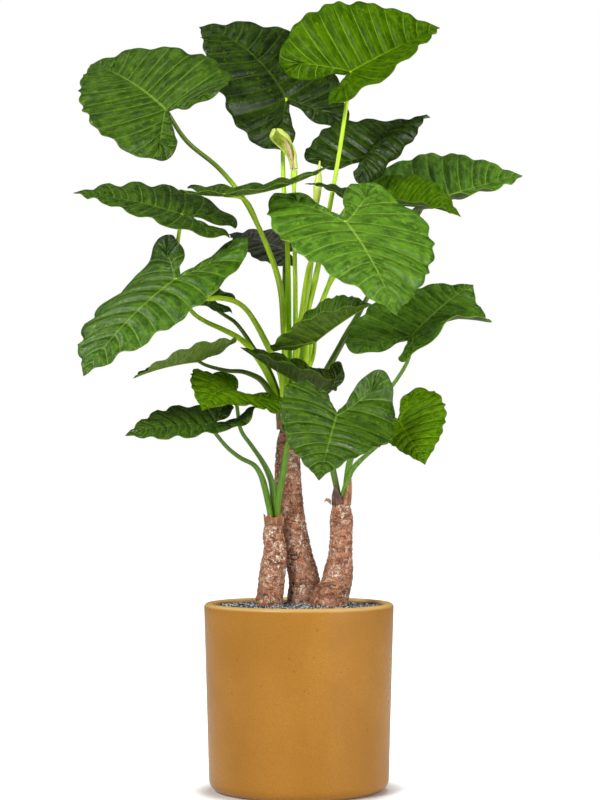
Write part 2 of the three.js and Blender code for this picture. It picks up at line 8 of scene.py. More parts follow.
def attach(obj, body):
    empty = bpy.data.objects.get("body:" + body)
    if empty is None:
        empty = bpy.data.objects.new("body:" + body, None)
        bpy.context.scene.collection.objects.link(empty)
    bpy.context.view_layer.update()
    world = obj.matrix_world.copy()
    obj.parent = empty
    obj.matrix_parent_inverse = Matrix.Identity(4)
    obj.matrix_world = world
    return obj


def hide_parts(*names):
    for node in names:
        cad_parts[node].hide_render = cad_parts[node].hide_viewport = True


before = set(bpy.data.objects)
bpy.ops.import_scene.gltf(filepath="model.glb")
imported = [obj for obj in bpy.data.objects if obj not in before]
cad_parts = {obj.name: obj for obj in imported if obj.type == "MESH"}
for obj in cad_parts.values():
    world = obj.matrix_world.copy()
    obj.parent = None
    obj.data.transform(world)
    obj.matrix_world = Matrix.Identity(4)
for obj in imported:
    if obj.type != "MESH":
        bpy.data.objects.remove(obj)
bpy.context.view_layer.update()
mm = 0.001
print("frame loaded with", len(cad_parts), "nodes")


# Finishing a piece

def addMesh(bm, name, materials=()):
    mesh = bpy.data.meshes.new(name)
    bm.to_mesh(mesh)
    bm.free()
    for material in materials:
        mesh.materials.append(material)
    return mesh


def addObject(name, data):
    added = bpy.data.objects.new(name, data)
    bpy.context.scene.collection.objects.link(added)
    return added


def finishPiece(bm, name, nodes, materials, smooth=True):
    for face in bm.faces:
        face.smooth = smooth
    piece = addObject(name, addMesh(bm, name, materials))
    if nodes:
        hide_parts(*nodes)
    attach(piece, "root")
    return piece


# A closed shape has its faces turned outwards first

def finishSolid(bm, name, nodes, material):
    bmesh.ops.recalc_face_normals(bm, faces=bm.faces[:])
    finishPiece(bm, name, nodes, [material])


def thickenSheet(piece, thickness):
    solidify = piece.modifiers.new("thickness", "SOLIDIFY")
    solidify.thickness = thickness * mm
    solidify.offset = 0
    return solidify


def addGrid(bm, columns, rows, size=1):
    return bmesh.ops.create_grid(bm, x_segments=columns, y_segments=rows, size=size)["verts"]


def lerp(low, high, share):
    return low + (high - low) * share


def ease(value, low, high):
    share = min(1, max(0, (value - low) / (high - low)))
    return share * share * (3 - 2 * share)


# The cubic between two points that leaves one and arrives at the other with the given slopes

def cubicPoint(start, end, leave, arrive, share):
    bend = (start - end) * 2 + leave + arrive
    swing = (end - start) * 3 - leave * 2 - arrive
    return ((bend * share + swing) * share + leave) * share + start


# A smooth curve through points, sampled at equal lengths. The knots are spaced by the root of their distance.

def curvePoint(points, place):
    last = len(points) - 1
    index = min(int(place), last - 1)
    second, third = points[index], points[index + 1]
    first = points[index - 1] if index > 0 else second * 2 - third
    fourth = points[index + 2] if index + 2 <= last else third * 2 - second
    pairs = ((first, second), (second, third), (third, fourth))
    before, span, after = [max(1e-4, (b - a).length ** 0.5) for a, b in pairs]
    leave = (second - first) / before - (third - first) / (before + span) + (third - second) / span
    arrive = (third - second) / span - (fourth - second) / (span + after) + (fourth - third) / after
    return cubicPoint(second, third, leave * span, arrive * span, place - index)


def smoothPath(points, count, fineness=24):
    fine = [curvePoint(points, i / fineness) for i in range(fineness * (len(points) - 1) + 1)]
    lengths = [0]
    for a, b in zip(fine, fine[1:]):
        lengths.append(lengths[-1] + (b - a).length)
    path = []
    index = 0
    for i in range(count):
        wanted = lengths[-1] * i / (count - 1)
        while index < len(fine) - 2 and lengths[index + 1] < wanted:
            index += 1
        span = max(1e-9, lengths[index + 1] - lengths[index])
        path.append(fine[index].lerp(fine[index + 1], (wanted - lengths[index]) / span))
    return path


# A closed tube along a path, wrapped from a grid. radiusAt takes 0 to 1 along and the angle round it.

def addTube(bm, path, radiusAt, sides, start, uvScale=1.0):
    last = len(path) - 1
    rows = last + 2
    layer = bm.loops.layers.uv.get("lengthMap") or bm.loops.layers.uv.new("lengthMap")
    grid = addGrid(bm, sides, rows)
    steps = {vert: (round((vert.co.x + 1) / 2 * sides), round((vert.co.y + 1) / 2 * rows)) for vert in grid}
    frames = []
    across = start
    for i in range(len(path)):
        ahead = path[min(i + 1, last)] - path[max(i - 1, 0)]
        ahead.normalize()
        across = (across - ahead * across.dot(ahead)).normalized()
        frames.append((across, ahead.cross(across)))
    for face in {face for vert in grid for face in vert.link_faces}:
        for loop in face.loops:
            column, row = steps[loop.vert]
            loop[layer].uv = (column / sides, row / rows * uvScale)
    for vert, (column, row) in steps.items():
        ring = min(max(row - 1, 0), last)
        angle = math.tau * column / sides
        radius = 0 if row in (0, rows) else radiusAt(ring / last, angle)
        across, over = frames[ring]
        vert.co = path[ring] + (across * math.cos(angle) + over * math.sin(angle)) * radius
    bmesh.ops.remove_doubles(bm, verts=grid, dist=2e-6)


# Material nodes. Each new node goes into the tree of the node or socket that it follows.

def newMaterial(name):
    material = bpy.data.materials.new(name)
    material.use_nodes = True
    return material, material.node_tree.nodes["Principled BSDF"]


def addNode(after, kind, **settings):
    node = after.id_data.nodes.new(kind)
    for key, value in settings.items():
        setattr(node, key, value)
    return node


# A number or a colour goes on the socket itself, and another node's output is linked to it

def fill(socket, value):
    if isinstance(value, (int, float)):
        socket.default_value = value
    elif isinstance(value, tuple):
        socket.default_value = (*value, 1)[:len(socket.default_value)]
    else:
        socket.id_data.links.new(value, socket)


def mathNode(operation, first, second):
    node = addNode(first, "ShaderNodeMath", operation=operation)
    fill(node.inputs[0], first)
    fill(node.inputs[1], second)
    return node.outputs[0]


def times(first, second):
    return mathNode("MULTIPLY", first, second)


def rangeNode(value, low, high, toLow=0.0, toHigh=1.0):
    node = addNode(value, "ShaderNodeMapRange", interpolation_type="SMOOTHSTEP")
    names = ("Value", "From Min", "From Max", "To Min", "To Max")
    for name, number in zip(names, (value, low, high, toLow, toHigh)):
        fill(node.inputs[name], number)
    return node.outputs["Result"]


def mixColour(share, first, second):
    node = addNode(share, "ShaderNodeMix", data_type="RGBA")
    for index, value in zip((0, 6, 7), (share, first, second)):
        fill(node.inputs[index], value)
    return node.outputs[2]


# Lays colours over a first one, each as far as its own cover says

def layered(colour, *layers):
    for cover, over in layers:
        colour = mixColour(cover, colour, over)
    return colour


def noiseNode(vector, scale, detail=3, roughness=0.5, distortion=0.0):
    node = addNode(vector, "ShaderNodeTexNoise")
    names = ("Vector", "Scale", "Detail", "Roughness", "Distortion")
    for name, value in zip(names, (vector, scale, detail, roughness, distortion)):
        fill(node.inputs[name], value)
    return node.outputs["Fac"]


def cellNode(vector, scale, output="Distance"):
    node = addNode(vector, "ShaderNodeTexVoronoi")
    fill(node.inputs["Vector"], vector)
    fill(node.inputs["Scale"], scale)
    return node.outputs[output]


def objectPlace(shader):
    return addNode(shader, "ShaderNodeTexCoord").outputs["Object"]


def ownMap(shader, name):
    return addNode(shader, "ShaderNodeUVMap", uv_map=name).outputs["UV"]


def stretched(vector, scale):
    node = addNode(vector, "ShaderNodeMapping")
    fill(node.inputs["Vector"], vector)
    fill(node.inputs["Scale"], scale)
    return node.outputs["Vector"]


def splitVector(vector, kind="ShaderNodeSeparateXYZ"):
    node = addNode(vector, kind)
    fill(node.inputs[0], vector)
    return node.outputs


def addBump(shader, height, strength, distance):
    node = addNode(shader, "ShaderNodeBump")
    for name, value in (("Height", height), ("Strength", strength), ("Distance", distance)):
        fill(node.inputs[name], value)
    fill(shader.inputs["Normal"], node.outputs["Normal"])


def setShader(shader, colour, roughness, **others):
    for name, value in {"Base Color": colour, "Roughness": roughness, **others}.items():
        fill(shader.inputs[name.replace("_", " ")], value)


# Leaf blades: body, shade streak, mottle and vein colours, in lit and shaded copies of one leaf colour.
# bright and sunny are painted light for leaves lit through from behind, clear and fresh are lighter
# painted-light copies, and dark is painted shade for leaves in shadow.

litShadedLeafTones = {
    "bright": {"body": (0.078, 0.180, 0.001), "shade": (0.030, 0.088, 0.0005), "mottle": (0.15, 0.30, 0.001),
               "vein": (0.19, 0.36, 0.005), "shine": 0.06},
    "sunny": {"body": (0.115, 0.245, 0.001), "shade": (0.042, 0.120, 0.0005), "mottle": (0.21, 0.38, 0.001),
              "vein": (0.22, 0.42, 0.005), "shine": 0.08},
    "fresh": {"body": (0.082, 0.200, 0.010), "shade": (0.028, 0.088, 0.005), "mottle": (0.21, 0.39, 0.008),
              "vein": (0.25, 0.43, 0.05), "shine": 0.32},
    "clear": {"body": (0.115, 0.280, 0.014), "shade": (0.040, 0.124, 0.007), "mottle": (0.27, 0.48, 0.012),
              "vein": (0.30, 0.50, 0.06), "shine": 0.32},
    "mid": {"body": (0.064, 0.146, 0.006), "shade": (0.022, 0.062, 0.004), "mottle": (0.15, 0.29, 0.006),
            "vein": (0.17, 0.32, 0.025), "shine": 0.32},
    "dark": {"body": (0.029, 0.066, 0.002), "shade": (0.008, 0.023, 0.001), "mottle": (0.09, 0.18, 0.002),
             "vein": (0.08, 0.16, 0.008), "shine": 0.4},
    "ashen": {"body": (0.085, 0.100, 0.068), "shade": (0.030, 0.036, 0.028), "mottle": (0.17, 0.17, 0.12),
              "vein": (0.26, 0.24, 0.21), "shine": 0.3},
}
# Undersides, paler than the upper faces, in lit and shaded copies: pale and soft are painted light for
# undersides in the light, and deep is painted shade for undersides in shadow.
litShadedUnderTones = {
    "pale": {"body": (0.20, 0.31, 0.035), "shade": (0.13, 0.22, 0.02), "mottle": (0.24, 0.34, 0.04),
             "vein": (0.28, 0.42, 0.10), "shine": 0.12},
    "soft": {"body": (0.115, 0.215, 0.009), "shade": (0.050, 0.110, 0.004), "mottle": (0.22, 0.36, 0.01),
             "vein": (0.22, 0.36, 0.05), "shine": 0.2},
    "deep": {"body": (0.060, 0.115, 0.006), "shade": (0.025, 0.055, 0.003), "mottle": (0.15, 0.24, 0.008),
             "vein": (0.14, 0.24, 0.03), "shine": 0.2},
}
# flow and slant stretch the streaks and the fine veins, and streaks and mottles are the noise levels where a
# mark starts and where it is full
leafPattern = {"flow": (2.1, 3.2, 14), "crumple": 150, "streaks": (0.37, 0.63), "mottles": (0.53, 0.68),
               "mottleCover": 0.75, "slant": (26, 2.2, 5), "fineCover": 0.10, "specks": 260, "relief": 0.0026}


def leafMaterial(name, tone, roughness):
    material, shader = newMaterial(name)
    place = objectPlace(shader)
    vein, share = splitVector(ownMap(shader, "veinMap"))[:2]
    # streaks run along the side veins, and the last coordinate keeps the two halves unlike
    flow = addNode(vein, "ShaderNodeCombineXYZ")
    sources = (vein, share, splitVector(place)[0])
    for socket, source, stretch in zip(flow.inputs, sources, leafPattern["flow"]):
        fill(socket, times(source, stretch))
    flow = flow.outputs[0]
    crumple = noiseNode(place, leafPattern["crumple"], 4, 0.6)
    # distance from the nearest side vein: 0 on it, 1 halfway to the next
    offVein = times(mathNode("PINGPONG", vein, 0.5), 2)
    wavering = mathNode("ADD", offVein, times(crumple, 0.10))
    fading = rangeNode(share, 0.55, 0.97, 0.75, 0.12)
    nearVein = times(rangeNode(wavering, 0.06, 0.15, 1, 0), fading)
    nearSecond = times(rangeNode(wavering, 0.93, 1.03, 0, 0.4), fading)
    nearRib = rangeNode(share, 0.004, 0.022, 1, 0)
    nearEdge = rangeNode(share, 0.985, 1.0, 0, 0.6)
    streaks = rangeNode(noiseNode(flow, 1.0, 5, 0.68), *leafPattern["streaks"])
    mottles = noiseNode(flow, 2.6, 5, 0.72, 0.4)
    mottles = rangeNode(mottles, *leafPattern["mottles"], 0, leafPattern["mottleCover"])
    # finer veins that leave the side veins at a slant
    outward, sideways, wander = leafPattern["slant"]
    slant = mathNode("ADD", times(share, outward), times(offVein, sideways))
    slant = mathNode("ADD", slant, times(noiseNode(place, 45, 2), wander))
    fineVein = rangeNode(mathNode("PINGPONG", slant, 0.5), 0.0, 0.12, 1, 0)
    specks = rangeNode(cellNode(place, leafPattern["specks"]), 0.08, 0.16, 0.3, 0)
    # the shade colour under the streaks is painted shade in bands along the veins
    colour = layered(tone["shade"], (streaks, tone["body"]), (mottles, tone["mottle"]),
                     (times(fineVein, leafPattern["fineCover"]), tone["vein"]),
                     (nearSecond, tone["vein"]), (nearVein, tone["vein"]), (nearRib, tone["vein"]),
                     (nearEdge, tone["mottle"]), (specks, tone["shade"]))
    gloss = rangeNode(noiseNode(place, 60, 3), 0.3, 0.7, roughness - 0.06, roughness + 0.08)
    setShader(shader, colour, gloss, Specular_IOR_Level=tone["shine"])
    quilt = rangeNode(offVein, 0.0, 0.75)
    relief = mathNode("ADD", quilt, times(crumple, 0.5))
    relief = mathNode("SUBTRACT", relief, times(fineVein, 0.12))
    addBump(shader, relief, 0.8, leafPattern["relief"])
    return material


def ribMaterial(name, pale, deep):
    material, shader = newMaterial(name)
    streaks = noiseNode(stretched(ownMap(shader, "lengthMap"), (7, 2, 1)), 4, 3)
    setShader(shader, mixColour(streaks, pale, deep), 0.42)
    addBump(shader, streaks, 0.2, 0.0004)
    return material


# The upper faces, undersides and ribs take the painted light and shade of their tone tables
upperMaterials = {name: leafMaterial("leaf_upper_" + name, tone, 0.29) for name, tone in litShadedLeafTones.items()}
underMaterials = {name: leafMaterial("leaf_under_" + name, tone, 0.55) for name, tone in litShadedUnderTones.items()}
ribMaterials = {name: ribMaterial("leaf_rib_" + name, tone["vein"], tone["mottle"])
                for name, tone in litShadedLeafTones.items()}

# lobeLength and halfBreadth are the reaches over which a lobe droops and a half curls, in midribs
blade = {"thickness": 1.0, "columns": 8, "rows": 14, "quilt": 0.018, "wave": 0.02, "bow": 0.08,
         "notch": 0.045, "uneven": 0.7, "lobeLength": 0.45, "halfBreadth": 0.65}
# midrib and sideVein are radii in millimetres on a leaf with a midrib of leafLength, in metres. stand is how
# high the top of a rib lies over the middle of the blade, in blade thicknesses. reach is how far a side vein
# runs to the margin, and notchReach is for the two beside the notch.
ribs = {"midrib": 2.2, "sideVein": 0.85, "leafLength": 0.19, "sides": 6, "stand": 0.72, "reach": 0.96,
        "notchReach": 0.8}

# One half of the heart-shaped leaf, flat, in units of its midrib, from the notch round the lobe to the tip
margin = [
    (-0.06, 0), (-0.15, 0.06), (-0.29, 0.1), (-0.42, 0.18),
    (-0.5, 0.32), (-0.45, 0.46),
    (-0.3, 0.57), (-0.12, 0.635),
    (0.08, 0.65), (0.28, 0.61), (0.47, 0.51), (0.64, 0.38), (0.8, 0.225), (0.91, 0.09), (1, 0),
]
lobeRibEnd = (-0.32, 0.29)
# Side veins run from a rib to the margin in four fields
veinFields = [
    {"from": (0, 0), "to": lobeRibEnd, "marginFrom": 0, "marginTo": 3, "veins": 3},
    {"from": lobeRibEnd, "to": lobeRibEnd, "marginFrom": 3, "marginTo": 5, "veins": 2},
    {"from": lobeRibEnd, "to": (0, 0), "marginFrom": 5, "marginTo": 8, "veins": 3},
    {"from": (0, 0), "to": (1, 0), "marginFrom": 8, "marginTo": 14, "veins": 8},
]
veinCount = sum(field["veins"] for field in veinFields)
# the midrib starts at this vein, and the rib of a lobe runs from it back over the third field
midribVein = veinCount - veinFields[3]["veins"]

# junction and tip are the two ends of the midrib and facing is where the upper face looks, in millimetres.
# left and right are fold and curl of each half in degrees; a third number opens the half again to the tip.
# tone and under name the painted-light copies of the upper and under colours that each leaf takes
leaves = [
    {"name": "01", "junction": (-245, -40, 1252), "tip": (-395, 81, 1357), "facing": (0, -0.61, 0.79),
     "breadth": (1.08, 1.08), "droop": 30, "lobes": (-12, 40), "reach": (0.9, 0.42), "left": (6, -4),
     "right": (26, -30), "tone": "mid"},
    {"name": "02", "junction": (-25, 140, 1303), "tip": (-195, 200, 1452), "facing": (0.27, -0.7, 0.66),
     "breadth": (0.97, 1.0), "droop": 60, "lobes": (20, 20), "reach": (0.72, 0.85), "left": (8, -15),
     "right": (8, -20), "tone": "dark"},
    {"name": "03", "junction": (98, 50, 1338), "tip": (269, 105, 1432), "facing": (0.2, -0.92, 0.35),
     "breadth": (1.14, 1.1), "droop": 15, "lobes": (-25, -30), "reach": (1.05, 0.62), "left": (5, -15),
     "right": (48, 10, -15), "tone": "bright", "under": "pale"},
    {"name": "04", "junction": (132, 100, 1187), "tip": (255, 180, 1272), "facing": (-0.15, -0.45, 0.85),
     "breadth": (0.97, 0.7), "droop": 40, "lobes": (32, 5), "reach": (1.5, 0.8), "left": (33, -10, 50),
     "right": (60, -300), "tone": "dark", "under": "pale"},
    {"name": "05", "junction": (244, 190, 1105), "tip": (437, 210, 1162), "facing": (-0.15, -0.65, 0.74),
     "breadth": (1, 0.85), "droop": 10, "reach": (1.4, 1), "left": (16, -10), "right": (10, 60),
     "tone": "clear"},
    {"name": "06", "junction": (169, 75, 1092), "tip": (304, 45, 1064), "facing": (0, -0.6, 0.8),
     "breadth": (1.05, 0.65), "droop": 30, "left": (12, -10), "right": (36, 0), "tone": "bright"},
    {"name": "07", "junction": (98, 0, 1093), "tip": (11, -40, 1115), "facing": (0, 0.1, 1),
     "breadth": (0.42, 0.65), "droop": 30, "left": (5, 0), "right": (20, -20), "tone": "mid"},
    {"name": "08", "junction": (-136, -95, 1088), "tip": (58, -110, 1140), "facing": (0, 0, 1),
     "breadth": (0.8, 0.8), "droop": -30, "lobes": (10, 10), "reach": (0.75, 0.75), "left": (20, -10),
     "right": (-8, 10), "tone": "mid", "under": "soft"},
    {"name": "09", "junction": (-214, -60, 1056), "tip": (-413, -60, 1096), "facing": (0, -0.4, 0.9),
     "breadth": (1.0, 1.12), "droop": 15, "lobes": (4, -14), "reach": (0.96, 1.02), "left": (10, -5),
     "right": (3, -8), "tone": "mid"},
    {"name": "10", "junction": (84, -140, 1034), "tip": (168, -290, 857), "facing": (0.2, -0.7, 0.7),
     "breadth": (1.08, 0.88), "droop": 25, "lobes": (14, 0), "reach": (1.06, 0.97), "left": (-8, 0, 30),
     "right": (8, -20), "tone": "clear"},
    {"name": "11", "junction": (-27, 145, 1010), "tip": (-138, 215, 1048), "facing": (0, -0.4, 0.9),
     "breadth": (0.9, 0.9), "droop": 20, "reach": (0.75, 0.75), "left": (10, -20), "right": (10, -20),
     "tone": "ashen"},
    {"name": "12", "junction": (-222, -135, 931), "tip": (-376, -235, 754), "facing": (-0.54, -0.37, 0.75),
     "breadth": (0.7, 1.3), "droop": 20, "lobes": (12, 60), "reach": (1.05, 0.85), "left": (-10, -15, 15),
     "right": (6, -15), "tone": "fresh"},
    {"name": "13", "junction": (-188, 95, 920), "tip": (-321, 95, 938), "facing": (0, -0.4, 0.9),
     "breadth": (0.9, 0.9), "droop": 30, "left": (16, -20), "right": (10, -20), "tone": "mid",
     "under": "pale"},
    {"name": "14", "junction": (30, -65, 824), "tip": (131, -130, 887), "facing": (0, 0, 1),
     "droop": 10, "lobes": (20, 20), "left": (68, -20), "right": (15, -10), "tone": "fresh",
     "under": "soft"},
    {"name": "15", "junction": (209, -20, 836), "tip": (332, 110, 941), "facing": (-0.11, -0.49, 0.86),
     "breadth": (0.9, 1.06), "droop": 20, "lobes": (15, 0), "left": (16, -20), "right": (34, 0, 80),
     "tone": "clear"},
    {"name": "16", "junction": (-185, -40, 789), "tip": (-298, -120, 754), "facing": (0, 0.05, 1),
     "breadth": (0.85, 0.85), "droop": 15, "lobes": (20, 35), "left": (25, 0), "right": (5, -10),
     "tone": "mid", "under": "pale"},
    {"name": "17", "junction": (31, -65, 733), "tip": (-106, -105, 811), "facing": (0, -0.2, 1),
     "breadth": (0.75, 0.75), "droop": -10, "lobes": (60, 90), "reach": (0.4, 1.3), "left": (20, 20),
     "right": (30, -10), "tone": "dark"},
    {"name": "18", "junction": (-117, -60, 733), "tip": (-172, -170, 695), "facing": (0, 0, 1),
     "breadth": (1.1, 0.9), "droop": 60, "lobes": (40, 70), "left": (-15, -20), "right": (32, -5),
     "tone": "sunny"},
    {"name": "19", "junction": (-162, -90, 673), "tip": (-310, -150, 651), "facing": (0, -0.35, 0.9),
     "breadth": (0.7, 0.8), "droop": 20, "lobes": (50, 40), "reach": (1.15, 0.82), "left": (14, -12, 30),
     "right": (8, -8), "tone": "mid"},
    {"name": "20", "junction": (66, -215, 686), "tip": (34, -330, 573), "facing": (0.18, -0.7, 0.7),
     "breadth": (1.0, 0.98), "droop": 25, "lobes": (45, 0), "reach": (1.38, 0.64), "left": (1, -17, -36),
     "right": (24, -20, 45), "tone": "mid"},
    {"name": "21", "junction": (183, -60, 678), "tip": (225, -150, 599), "facing": (-0.36, -0.71, 0.6),
     "breadth": (1.08, 0.5), "droop": 25, "reach": (1.1, 1), "left": (3, -5, 20), "right": (10, -20),
     "tone": "sunny"},
]
leafDefaults = {"breadth": (1, 1), "lobes": (0, 0), "reach": (1, 1), "under": "deep"}


def marginPoint(place):
    last = len(margin) - 1
    index = min(int(place), last - 1)
    first, second, third, fourth = (Vector(margin[min(max(index + i, 0), last)]) for i in (-1, 0, 1, 2))
    return cubicPoint(second, third, (third - first) / 2, (fourth - second) / 2, place - index)


# Both ends of the line that runs out to the margin at any place between the side veins

def veinEnds(vein):
    passed = 0
    for field in veinFields:
        if vein <= passed + field["veins"] or field is veinFields[-1]:
            share = (vein - passed) / field["veins"]
            start = Vector(field["from"]).lerp(Vector(field["to"]), share)
            return start, marginPoint(lerp(field["marginFrom"], field["marginTo"], share))
        passed += field["veins"]


veinLines = [veinEnds(i / blade["columns"]) for i in range(veinCount * blade["columns"] + 1)]


def arc(length, start, turn):
    if abs(turn) < 1e-3:
        return length * math.cos(start), length * math.sin(start)
    end = start + turn * length
    return (math.sin(end) - math.sin(start)) / turn, (math.cos(start) - math.cos(end)) / turn


def leafAxes(leaf):
    origin = Vector(leaf["junction"]) * mm
    forward = Vector(leaf["tip"]) * mm - origin
    chord = forward.length
    forward.normalize()
    upward = Vector(leaf["facing"])
    upward = (upward - forward * upward.dot(forward)).normalized()
    halfDroop = math.radians(leaf["droop"]) / 2
    return {"origin": origin, "forward": forward, "up": upward, "right": forward.cross(upward),
            "size": chord * halfDroop / math.sin(halfDroop)}


# Where a point of the flat leaf lies once the leaf is bent. side is 1 on the right half and -1 on the left.

def bentPlace(leaf, axes, along, across, side, ripple):
    size = axes["size"]
    half = 1 if side > 0 else 0
    fold, curl, *opening = leaf[("left", "right")[half]]
    droop = math.radians(leaf["droop"])
    turn = -droop if along > 0 else math.radians(leaf["lobes"][half]) / blade["lobeLength"]
    length = along if along > 0 else along * leaf["reach"][half]
    forward, rise = arc(length, droop / 2, turn)
    slope = droop / 2 + turn * length
    normal = axes["up"] * math.cos(slope) - axes["forward"] * math.sin(slope)
    fold = math.radians(fold - sum(opening) * max(0, along))
    curl = math.radians(curl) / blade["halfBreadth"]
    breadth = across * leaf["breadth"][half]
    out, lift = arc(breadth, fold, curl)
    tilt = fold + curl * breadth
    place = axes["origin"] + axes["forward"] * forward * size + axes["up"] * rise * size
    place += axes["right"] * side * (out - math.sin(tilt) * ripple) * size
    return place + normal * (lift + math.cos(tilt) * ripple) * size


# The point of the bent leaf at a vein place, 0 at the notch to 16 at the tip, and a share out to the margin

def bladePoint(leaf, axes, vein, share, side, lift=0.0):
    start, end = veinLines[round(vein * blade["columns"])]
    nearTip = min(1, (veinCount - vein) / 2)
    share *= 1 - blade["notch"] * math.cos(math.pi * vein) ** 2 * share ** 4 * nearTip
    along = lerp(start.x, end.x, share) - blade["bow"] * share * (1 - share) * nearTip
    across = lerp(start.y, end.y, share)
    # each leaf and each half has its own waves along the margin
    seed = Vector((vein * 0.37, side * 3.1, float(leaf["name"]) * 1.7))
    uneven = 1 + blade["uneven"] * noise.noise(seed)
    ripple = -math.cos(math.pi * vein) * blade["wave"] * uneven * share ** 2 * min(1, 6 * across)
    quilt = blade["quilt"] * abs(math.sin(math.pi * vein)) ** 0.7 * math.sin(math.pi * share ** 0.7)
    raised = ripple + quilt * min(1, nearTip + 0.2) + lift / axes["size"]
    return bentPlace(leaf, axes, along, across, side, raised)


def buildBlade(settings):
    leaf = {**leafDefaults, **settings}
    axes = leafAxes(leaf)
    bm = bmesh.new()
    layer = bm.loops.layers.uv.new("veinMap")
    columns, rows = blade["columns"], blade["rows"]
    half = veinCount * columns
    verts = addGrid(bm, 2 * half, rows)
    steps = {vert: (round(vert.co.x * half), round((vert.co.y + 1) / 2 * rows)) for vert in verts}
    for face in bm.faces:
        for loop in face.loops:
            column, row = steps[loop.vert]
            loop[layer].uv = (abs(column) / columns, row / rows)
    for vert, (column, row) in steps.items():
        share = (row / rows) ** 0.9
        vert.co = bladePoint(leaf, axes, abs(column) / columns, share, 1 if column >= 0 else -1)
    bmesh.ops.remove_doubles(bm, verts=bm.verts[:], dist=1e-5)
    # the upper face looks the way the leaf faces
    bmesh.ops.recalc_face_normals(bm, faces=bm.faces[:])
    if sum((face.normal * face.calc_area() for face in bm.faces), Vector()).dot(axes["up"]) < 0:
        bmesh.ops.reverse_faces(bm, faces=bm.faces[:])
    piece = finishPiece(bm, "leaf_blade_" + leaf["name"], ["blade_" + leaf["name"]],
                        [upperMaterials[leaf["tone"]], underMaterials[leaf["under"]]])
    thickenSheet(piece, blade["thickness"]).material_offset = 1
    buildRibs(leaf, axes)


# Midrib, lobe ribs and side veins, which stand out under the blade and just show above it

def buildRibs(leaf, axes):
    bm = bmesh.new()
    scale = axes["size"] / ribs["leafLength"]

    def addRib(places, thick, thin):
        radii = [lerp(thick, thin, i / (len(places) - 1)) * scale * mm for i in range(len(places))]
        path = []
        for (vein, share, side), radius in zip(places, radii):
            lift = blade["thickness"] * mm * ribs["stand"] - radius
            path.append(bladePoint(leaf, axes, vein, share, side, lift))
        crosswise = abs((path[-1] - path[0]).normalized().dot(axes["right"])) < 0.8
        addTube(bm, path, lambda along, angle: radii[round(along * (len(radii) - 1))], ribs["sides"],
                axes["right"] if crosswise else axes["forward"])

    midrib, sideVein = ribs["midrib"], ribs["sideVein"]
    addRib([(midribVein + i / 2, 0, 1) for i in range(2 * veinFields[3]["veins"])], midrib, midrib * 0.3)
    for side in (1, -1):
        backward = range(2 * veinFields[2]["veins"] + 1)
        addRib([(midribVein - i / 2, 0, side) for i in backward], midrib * 0.8, midrib * 0.4)
        for index in range(1, veinCount):
            reach = ribs["reach"] if index > 2 else ribs["notchReach"]
            addRib([(index, reach * i / 9, side) for i in range(10)], sideVein, sideVein * 0.35)
    finishSolid(bm, "leaf_ribs_" + leaf["name"], [], ribMaterials[leaf["tone"]])


for leafSettings in leaves:
    buildBlade(leafSettings)
print("leaf blades done")


# Leaf stalks. way runs from the crown to just before the junction of the blade, in millimetres, radius is
# foot and end, and look is stalk_green where a stalk names none.

